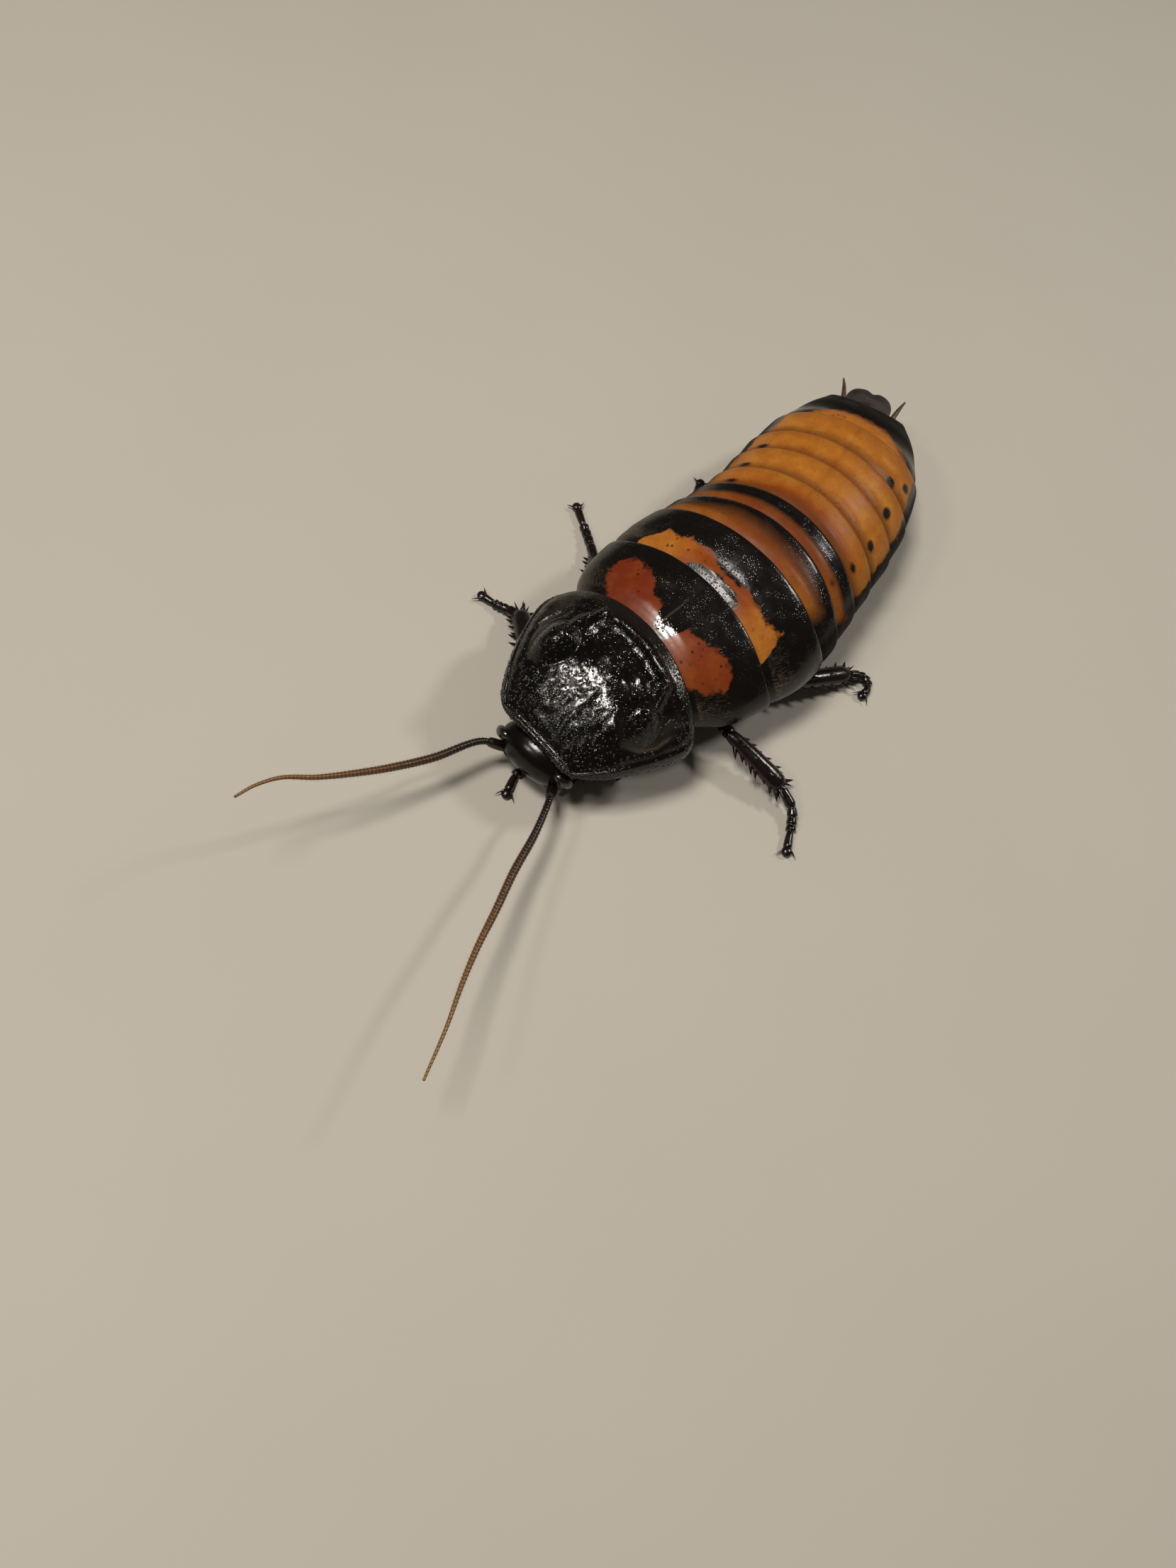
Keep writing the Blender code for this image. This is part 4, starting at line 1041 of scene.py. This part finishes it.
def head_point(direction, lift=0.0):
    """Point on the head's surface in a direction from its middle, in body millimetres."""
    unit = Vector(direction).normalized()
    low = max(0.0, -unit.z)
    wide, deep, tall = HEAD_HALF
    half = (wide * (1.0 - 0.42 * low ** 1.5), deep * (1.0 - 0.12 * low), tall)
    local = Vector([u * size for u, size in zip(unit, half)])
    local += lift * Vector([u / size for u, size in zip(unit, half)]).normalized()
    return HEAD_TURN @ local + Vector(HEAD_CENTRE)


def head_relief(unit):
    """Millimetres that the face's lines, sockets and mouth edge stand off the head."""
    if unit.y > 0.2:
        return 0.0
    face = step(0.0, 0.3, -unit.y)
    lift = -0.1 * bell(unit.z + 0.45 + 0.25 * unit.x ** 2, 0.035) * face
    lift -= 0.14 * bell(unit.z + 0.78, 0.03) * face
    socket = math.hypot(abs(unit.x) - SOCKET[0], unit.z - SOCKET[2])
    lift += 0.22 * bell(socket - 0.17, 0.05) * face - 0.12 * bell(socket, 0.1) * face
    lift += 0.12 * bell(abs(unit.x) - 0.4, 0.22) * bell(unit.z + 0.1, 0.3) * face
    lift -= 0.07 * bell(unit.x, 0.1) * bell(unit.z - 0.2, 0.4) * face
    return lift


class BuildHead(bpy.types.Operator):
    """Builds the head, its eyes and its jaw feelers"""
    bl_idname = "cockroach.head"
    bl_label = "Head, eyes and palps"

    def execute(self, context):
        colours = context.scene.cockroach_colours
        gloss = plain_cuticle("sclerotised_cuticle_head", colours.black, "#0e0907", 0.19, 0.35, 0.3,
                              coat=0.0, level=0.27)

        def carry(u, v):
            angle, low = math.tau * u, math.pi * v
            unit = Vector((math.sin(low) * math.cos(angle), math.sin(low) * math.sin(angle), -math.cos(low)))
            return world(*head_point(unit, head_relief(unit)))

        piece = carried_grid("head_capsule", 120, 90, carry, merge=True)
        finish_piece(piece, gloss, ["head"])
        eye = eye_cuticle(colours)
        for side, hand in SIDES:
            middle = mirrored(EYE_PLACE, hand).normalized()
            beside = middle.cross(UP).normalized()
            above = beside.cross(middle)

            def dome(u, reach):
                angle = math.tau * u
                notch = 1.0 - 0.18 * bell(math.cos(angle) - 1.0, 0.35)
                direction = (middle + beside * math.cos(angle) * EYE_HALF[0] * reach * notch
                             + above * math.sin(angle) * EYE_HALF[1] * reach)
                lift = EYE_RISE * math.sqrt(max(0.0, 1.0 - reach ** 2.4)) - 0.06
                return world(*head_point(direction, lift))

            piece = carried_grid("eye_dome_" + side, 48, 20, dome, merge=True)
            finish_piece(piece, eye, ["eye_" + side])
        palp = plain_cuticle("cuticle_palp", colours.leg, "#3a2013", 0.3, 0.3, 0.4)

        def palp_size(t):
            return 0.2 + 0.09 * abs(math.sin(math.pi * (t * 3.6 + 0.1))) ** 0.6

        for side, hand in SIDES:
            direction = mirrored(PALP_PLACE, hand)
            root = head_point(direction, GAP + 0.25)
            path = curve_points((head_point(direction, -0.2), root, root + mirrored((0.9, -0.2, -0.3), hand),
                                 root + mirrored((1.1, -1.5, -0.5), hand)), 30)
            piece = tube("jaw_palp_" + side, path, palp_size, 12)
            finish_piece(piece, palp, ["palp_" + side])
        return {"FINISHED"}


# Share of a feeler's length and its radius there, past its first segment
FEELER_RADIUS = ((0.0, 0.4), (0.12, 0.4), (0.28, 0.47), (0.5, 0.42), (0.75, 0.27), (1.0, 0.15))
# Length of a feeler's first segment
SCAPE = 2.3


def feeler_path(side, ring_spacing):
    """Points along a feeler, four to a ring, how many rings it has and its first segment's share."""
    points = (head_point(mirrored(SOCKET, dict(SIDES)[side]), -0.1),) + ANTENNAE[side]
    rough = curve_points(points, 60)
    reach = sum((b - a).length for a, b in zip(rough, rough[1:]))
    rings = int(reach / ring_spacing)
    return curve_points(points, rings * 4 + 1), rings, SCAPE / reach


class BuildFeelers(bpy.types.Operator):
    """Builds the two long ringed feelers and the two short ones of the tail"""
    bl_idname = "cockroach.feelers"
    bl_label = "Feelers"

    def execute(self, context):
        sizes, colours = chosen(context)
        finish = feeler_cuticle(colours)
        for side in ANTENNAE:
            path, rings, scape = feeler_path(side, sizes.ring_spacing / MM)

            def size(t):
                # The first segment is stout, and each ring after it has a waist at its ends
                if t < scape:
                    return 0.5 + 0.12 * math.sin(math.pi * min(1.0, t / scape)) ** 0.5
                ring = (t * rings) % 1.0
                waist = (0.28 if t < scape * 1.6 else 0.16) * bell(min(ring, 1.0 - ring), 0.14)
                return smooth_value(FEELER_RADIUS, t) * (1.0 - waist)

            def marks(_, v):
                t = max(0.0, min(1.0, (v * (rings * 4 + 2) - 1.0) / (rings * 4)))
                ring = (t * rings) % 1.0
                return {"reach": t, "ring": 0.75 * bell(min(ring, 1.0 - ring), 0.16)}

            piece = tube("feeler_" + side, path, size, 14, marks=marks)
            finish_piece(piece, finish, ["antenna_" + side])
        cercus = plain_cuticle("cuticle_cercus", "#5c4033", "#241610", 0.4, 0.5, 0.4, coat=0.0)

        def cercus_size(t):
            return (0.3 + 0.08 * math.sin(math.pi * t)) * (1.0 - 0.6 * t ** 3) * (
                1.0 - 0.1 * bell((t * 9) % 1.0, 0.2))

        for side, hand in SIDES:
            path = []
            for i in range(41):
                t = i / 40
                spot = place(65.6 + 6.1 * t, hand * (3.3 + 1.1 * t ** 2), 1.1 + 0.4 * t) / MM
                path.append(spot + Vector((ORIGIN[0], ORIGIN[1], -FLOOR_DROP)))
            piece = tube("tail_feeler_" + side, path, cercus_size, 12)
            finish_piece(piece, cercus, ["cercus_" + side])
        return {"FINISHED"}


# Legs

# Share of a limb's length and its radius there
LIMB_RADII = {
    "coxa": ((0.0, 1.5), (0.3, 2.05), (0.65, 1.8), (0.9, 1.05), (1.0, 0.85)),
    "trochanter": ((0.0, 0.6), (0.5, 0.8), (1.0, 0.62)),
    "femur": ((0.0, 0.62), (0.3, 1.45), (0.65, 1.35), (0.9, 0.92), (1.0, 0.78)),
    "knee": ((0.0, 0.62), (0.5, 0.84), (1.0, 0.62)),
    "tibia": ((0.0, 0.66), (0.15, 0.88), (0.6, 1.12), (0.92, 1.16), (1.0, 0.74)),
}
# Rows of thorns along a tibia: which way each leans, sideways and up, and how many it has
THORN_ROWS = ((1.0, -0.1, 7), (-1.0, -0.1, 7), (0.35, 0.9, 4), (0.5, -0.85, 5), (-0.5, -0.85, 5))
SPURS = 7
# Shares of a foot's length at which its joints lie, and the radius of the pad at its end
FOOT_JOINTS = (0.0, 0.36, 0.5, 0.62, 0.72, 1.0)
PAD_RADIUS = 0.62


def toe_size(t):
    """Radius of a foot, whose joints swell towards their far ends."""
    a, b = next(pair for pair in zip(FOOT_JOINTS, FOOT_JOINTS[1:]) if t <= pair[1])
    s = (t - a) / (b - a)
    swell = 0.46 + 0.2 * s ** 0.7 if b < 1.0 else 0.4 + 0.14 * s
    return swell * (1.0 - 0.35 * bell(s, 0.1)) * (1.0 - 0.25 * bell(s - 1.0, 0.08))


def leg_limbs(name, points, thorn_length, draw):
    """The pieces of one leg above its foot, with the thorns of its tibia."""
    hip, trochanter, knee, ankle = [Vector(p) for p in points[:4]]
    limbs, paths = [], {}

    def limb(label, a, b, flat, count=26, bow=0.0):
        path = paths[label] = []
        for i in range(count):
            t = i / (count - 1)
            path.append(a.lerp(b, t) + UP * bow * math.sin(math.pi * t))

        def size(t):
            return smooth_value(LIMB_RADII[label], t) * (1.0 + 0.02 * wave(t * 9.0, 0.0, 1.0, a.x))

        limbs.append(tube(name + "_" + label, path, size, 20, flat))

    limb("coxa", hip, trochanter, 0.5)
    limb("trochanter", trochanter - (trochanter - hip).normalized() * 0.5, trochanter.lerp(knee, 0.12),
         0.85, 10)
    limb("femur", trochanter.lerp(knee, 0.05), knee, 0.75, bow=0.25)
    limb("knee", knee - (knee - trochanter).normalized() * 0.45, knee.lerp(ankle, 0.1), 0.9, 10)
    limb("tibia", knee.lerp(ankle, 0.02), ankle, 0.9, bow=0.15)
    along = (ankle - knee).normalized()
    side = along.cross(UP).normalized()
    lift = side.cross(along)
    shin, thorns = paths["tibia"], []
    for hand, up, count in THORN_ROWS:
        for i in range(count):
            # They stand along most of the tibia, and lean towards the foot
            t = 0.2 + 0.76 * (i + draw.uniform(-0.15, 0.15)) / (count - 1)
            centre = shin[min(len(shin) - 1, max(0, round(t * (len(shin) - 1))))]
            out = (side * hand + lift * up).normalized()
            aim = out + along * draw.uniform(0.55, 0.9)
            reach = thorn_length * draw.uniform(0.75, 1.2) * (0.7 if abs(up) > 0.5 else 1.0)
            thorns.append(thorn(centre + out * 0.55, aim, reach, 0.36, out * -0.12))
    for k in range(SPURS):
        angle = math.tau * k / SPURS + 0.4
        out = side * math.cos(angle) + lift * math.sin(angle)
        thorns.append(thorn(ankle - along * 0.35 + out * 0.4, out * 0.7 + along,
                            thorn_length * draw.uniform(0.7, 1.05), 0.21, out * -0.1))
    # A thorn that would reach the floor is left out
    limbs.append(gathered(name + "_thorns", [t for t in thorns if min(c.z for c in t[0]) > 0.0001]))
    return limbs


def foot_parts(name, points):
    """The toe joints of one foot, with the pad and the claws at its end."""
    knee, ankle = Vector(points[2]), Vector(points[3])
    path = curve_points([ankle - (ankle - knee).normalized() * 0.25] + [Vector(p) for p in points[4]], 66)
    parts = [tube(name + "_tarsus", path[:-3], toe_size, 16, floor=-FLOOR_DROP + 0.04)]
    tip, heading = path[-1], path[-1] - path[-6]
    heading = Vector((heading.x, heading.y, 0.0)).normalized()
    across = heading.cross(UP)

    def pad(u, v):
        angle, low = math.tau * u, math.pi * v
        body = heading * math.cos(angle) * 1.1 + across * math.sin(angle)
        point = tip + (body * math.sin(low) - UP * math.cos(low) * 0.72) * PAD_RADIUS
        point.z = max(point.z, -FLOOR_DROP)
        return world(*point)

    parts.append(carried_grid(name + "_arolium", 24, 14, pad, merge=True))
    claws = []
    for hand in (-1.0, 1.0):
        root = tip - heading * 0.25 + across * hand * 0.2 + UP * 0.22
        aim = across * hand * 1.1 + heading * 0.75
        claws.append(thorn(root, aim, 1.25, 0.17, heading * 0.25 - UP * 0.3))
    return parts + [gathered(name + "_claws", claws)]


class BuildLegs(bpy.types.Operator):
    """Builds the six legs with their thorns, feet and claws"""
    bl_idname = "cockroach.legs"
    bl_label = "Legs"

    def execute(self, context):
        sizes, colours = chosen(context)
        finish = plain_cuticle("sclerotised_cuticle_leg", colours.leg, "#170d08", 0.22, 0.4, 0.45,
                               coat=0.0, level=0.4)
        draw = random.Random(5)
        for name, points in LEGS.items():
            leg = joined(name + "_leg", leg_limbs(name, points, sizes.thorn / MM, draw))
            finish_piece(leg, finish, [name + "_coxa", name + "_femur", name + "_tibia"])
            foot = joined(name + "_foot", foot_parts(name, points))
            finish_piece(foot, finish, [name + "_tarsus"])
        return {"FINISHED"}


# Hairs

# Places of a hair's seven corners in its patch of the map
HAIR_UVS = ((0.0, 0.0), (1.0, 0.0), (0.5, 0.3), (0.0, 0.6), (1.0, 0.6), (0.5, 0.7), (0.5, 1.0))
HAIRS_PER_PLATE = 1000


def hair(root, out, up, reach, half_width):
    """Corners and faces of one hair that tapers to a point, from a point in metres."""
    side = out.cross(up).normalized() * half_width * MM
    base = root - up * 0.02 * MM
    middle = base + out * reach * 0.55 * MM + up * 0.02 * MM
    rise = up * half_width * MM
    corners = [base - side, base + side, base + rise, middle - side * 0.8, middle + side * 0.8,
               middle + rise, base + out * reach * MM]
    faces = [(0, 3, 4, 1), (1, 4, 5, 2), (2, 5, 3, 0), (3, 6, 4), (4, 6, 5), (5, 6, 3), (0, 1, 2)]
    return corners, faces


def hair_uvs(u, v):
    """Small patch of the map for one hair's corners."""
    return [(u + 0.003 * a, v + 0.003 * b) for a, b in HAIR_UVS]


class BuildHairs(bpy.types.Operator):
    """Sets short hairs at the sides of the thorax, and bristles along the feelers"""
    bl_idname = "cockroach.hairs"
    bl_label = "Hairs"

    def execute(self, context):
        sizes, colours = chosen(context)
        draw = random.Random(23)
        reach = sizes.hair / MM
        parts, uvs = [], []
        for plate in list(back_plates())[:2]:
            carry, _ = back_skin(*plate)
            front, rear = plate[1:3]
            for _ in range(HAIRS_PER_PLATE):
                hand = draw.choice((0.0, 1.0))
                u = abs(hand - draw.betavariate(2.0, 3.0) * 0.34 - 0.02)
                v = 0.17 + 0.3 * draw.random() ** 1.5
                root, ahead = carry(u, v), carry(u, v + 0.02)
                beside = carry(min(1.0, u + 0.01), v)
                lie = (ahead - root).normalized()
                up = (beside - root).cross(ahead - root).normalized()
                out = lie * 0.9 + up * draw.uniform(0.05, 0.35)
                out = (out + (beside - root).normalized() * draw.uniform(-0.3, 0.3)).normalized()
                parts.append(hair(root, out, up, reach * draw.uniform(0.6, 1.3), 0.006))
                uvs += hair_uvs(0.05 + 0.9 * u, (front + (rear - front) * v) / 80.0)
        finish = chitin_hair("chitin_hair", "#5b4a32", colours.hair)
        finish_piece(gathered("thorax_hairs", parts, uvs), finish)
        parts, uvs = [], []
        for side in ANTENNAE:
            path, rings, _ = feeler_path(side, sizes.ring_spacing / MM)
            for ring in range(int(rings * 0.1), int(rings * 0.8)):
                along, beside, lift = across_path(path, ring * 4 + 2)
                for k in range(7):
                    angle = math.tau * (k + draw.random()) / 7
                    out = beside * math.cos(angle) + lift * math.sin(angle)
                    root = world(*(path[ring * 4 + 2] + out * smooth_value(FEELER_RADIUS, ring / rings)))
                    lean = (out + along * draw.uniform(0.5, 1.1)).normalized()
                    # Real bristles are half as wide; they are drawn so that they show
                    parts.append(hair(root, lean, out, reach * draw.uniform(0.45, 0.8), 0.016))
                    uvs += hair_uvs(0.1 + 0.8 * k / 7, 0.05 + 0.9 * ring / rings)
        finish = chitin_hair("chitin_bristle_feeler", "#6a4a20", "#a37a3c")
        finish_piece(gathered("feeler_bristles", parts, uvs), finish)
        return {"FINISHED"}


# Stage

# Name, place, size, power and colour of each soft light
LIGHTS = (("key", (-0.105, -0.13, 0.47), 0.12, 2.1, "#fff7ee"),
          ("front", (-0.14, -0.34, 0.39), 0.06, 0.4, "#fff7ee"),
          ("rear", (0.14, 0.34, 0.36), 0.06, 0.9, "#fffaf4"))
# The photograph's view: the camera's place, and its right, up and backward directions
CAMERA_PLACE = (0.032667, -0.069905, 0.120117)
CAMERA_AXES = ((0.67330, 0.72079, 0.16471), (-0.70840, 0.56510, 0.42288), (0.21173, -0.40141, 0.89109))


class BuildStage(bpy.types.Operator):
    """Sets the plain floor, the soft lights and the camera"""
    bl_idname = "cockroach.stage"
    bl_label = "Stage"

    def execute(self, context):
        colours = context.scene.cockroach_colours
        select_only()
        bpy.ops.mesh.primitive_plane_add(size=3.0, location=(0.0, 0.0, 0.0))
        floor = context.object
        floor.name = "floor"
        floor.data.materials.append(floor_paint(colours))
        for name, spot, size, power, shade in LIGHTS:
            bpy.ops.object.light_add(type="AREA", location=spot)
            lamp = context.object
            lamp.name = name
            lamp.data.size = size
            lamp.data.energy = power
            lamp.data.color = linear(shade)
            lamp.rotation_euler = (-Vector(spot)).to_track_quat("-Z", "Y").to_euler()
        world_light = bpy.data.worlds.new("studio")
        context.scene.world = world_light
        world_light.use_nodes = True
        background = world_light.node_tree.nodes["Background"]
        background.inputs["Color"].default_value = opaque("#a09a90")
        background.inputs["Strength"].default_value = 0.22
        context.scene.view_settings.view_transform = "Standard"
        turn = Matrix(CAMERA_AXES).transposed().to_euler()
        bpy.ops.object.camera_add(location=CAMERA_PLACE, rotation=turn)
        camera = context.object
        camera.name = "photo_camera"
        camera.data.lens = 27.05
        camera.data.sensor_width = 36.0
        camera.data.clip_start = 0.005
        context.scene.camera = camera
        return {"FINISHED"}


class CockroachPanel(bpy.types.Panel):
    """Lists the pieces of the model and their sizes"""
    bl_idname = "VIEW3D_PT_cockroach"
    bl_label = "Cockroach"
    bl_space_type = "VIEW_3D"
    bl_region_type = "UI"
    bl_category = "Cockroach"

    def draw(self, context):
        layout = self.layout
        for group in chosen(context):
            box = layout.box()
            for key in group.__annotations__:
                box.prop(group, key)
        for operator in BUILDERS:
            layout.operator(operator.bl_idname)


BUILDERS = (BuildPronotum, BuildGrains, BuildBackPlates, BuildBelly, BuildHead, BuildFeelers, BuildLegs,
            BuildHairs, BuildStage)
CLASSES = (CockroachSizes, CockroachColours) + BUILDERS + (CockroachPanel,)


def register():
    """Adds the classes, and the two groups of values to the scene."""
    for kind in CLASSES:
        bpy.utils.register_class(kind)
    bpy.types.Scene.cockroach_sizes = PointerProperty(type=CockroachSizes)
    bpy.types.Scene.cockroach_colours = PointerProperty(type=CockroachColours)


def unregister():
    """Takes away what register adds."""
    del bpy.types.Scene.cockroach_colours
    del bpy.types.Scene.cockroach_sizes
    for kind in reversed(CLASSES):
        bpy.utils.unregister_class(kind)


def main():
    """Builds the model on the frame."""
    register()
    bpy.ops.cockroach.pronotum()
    bpy.ops.cockroach.grains()
    bpy.ops.cockroach.back_plates()
    bpy.ops.cockroach.belly()
    bpy.ops.cockroach.head()
    bpy.ops.cockroach.feelers()
    bpy.ops.cockroach.legs()
    bpy.ops.cockroach.hairs()
    bpy.ops.cockroach.stage()


if __name__ == "__main__":
    main()
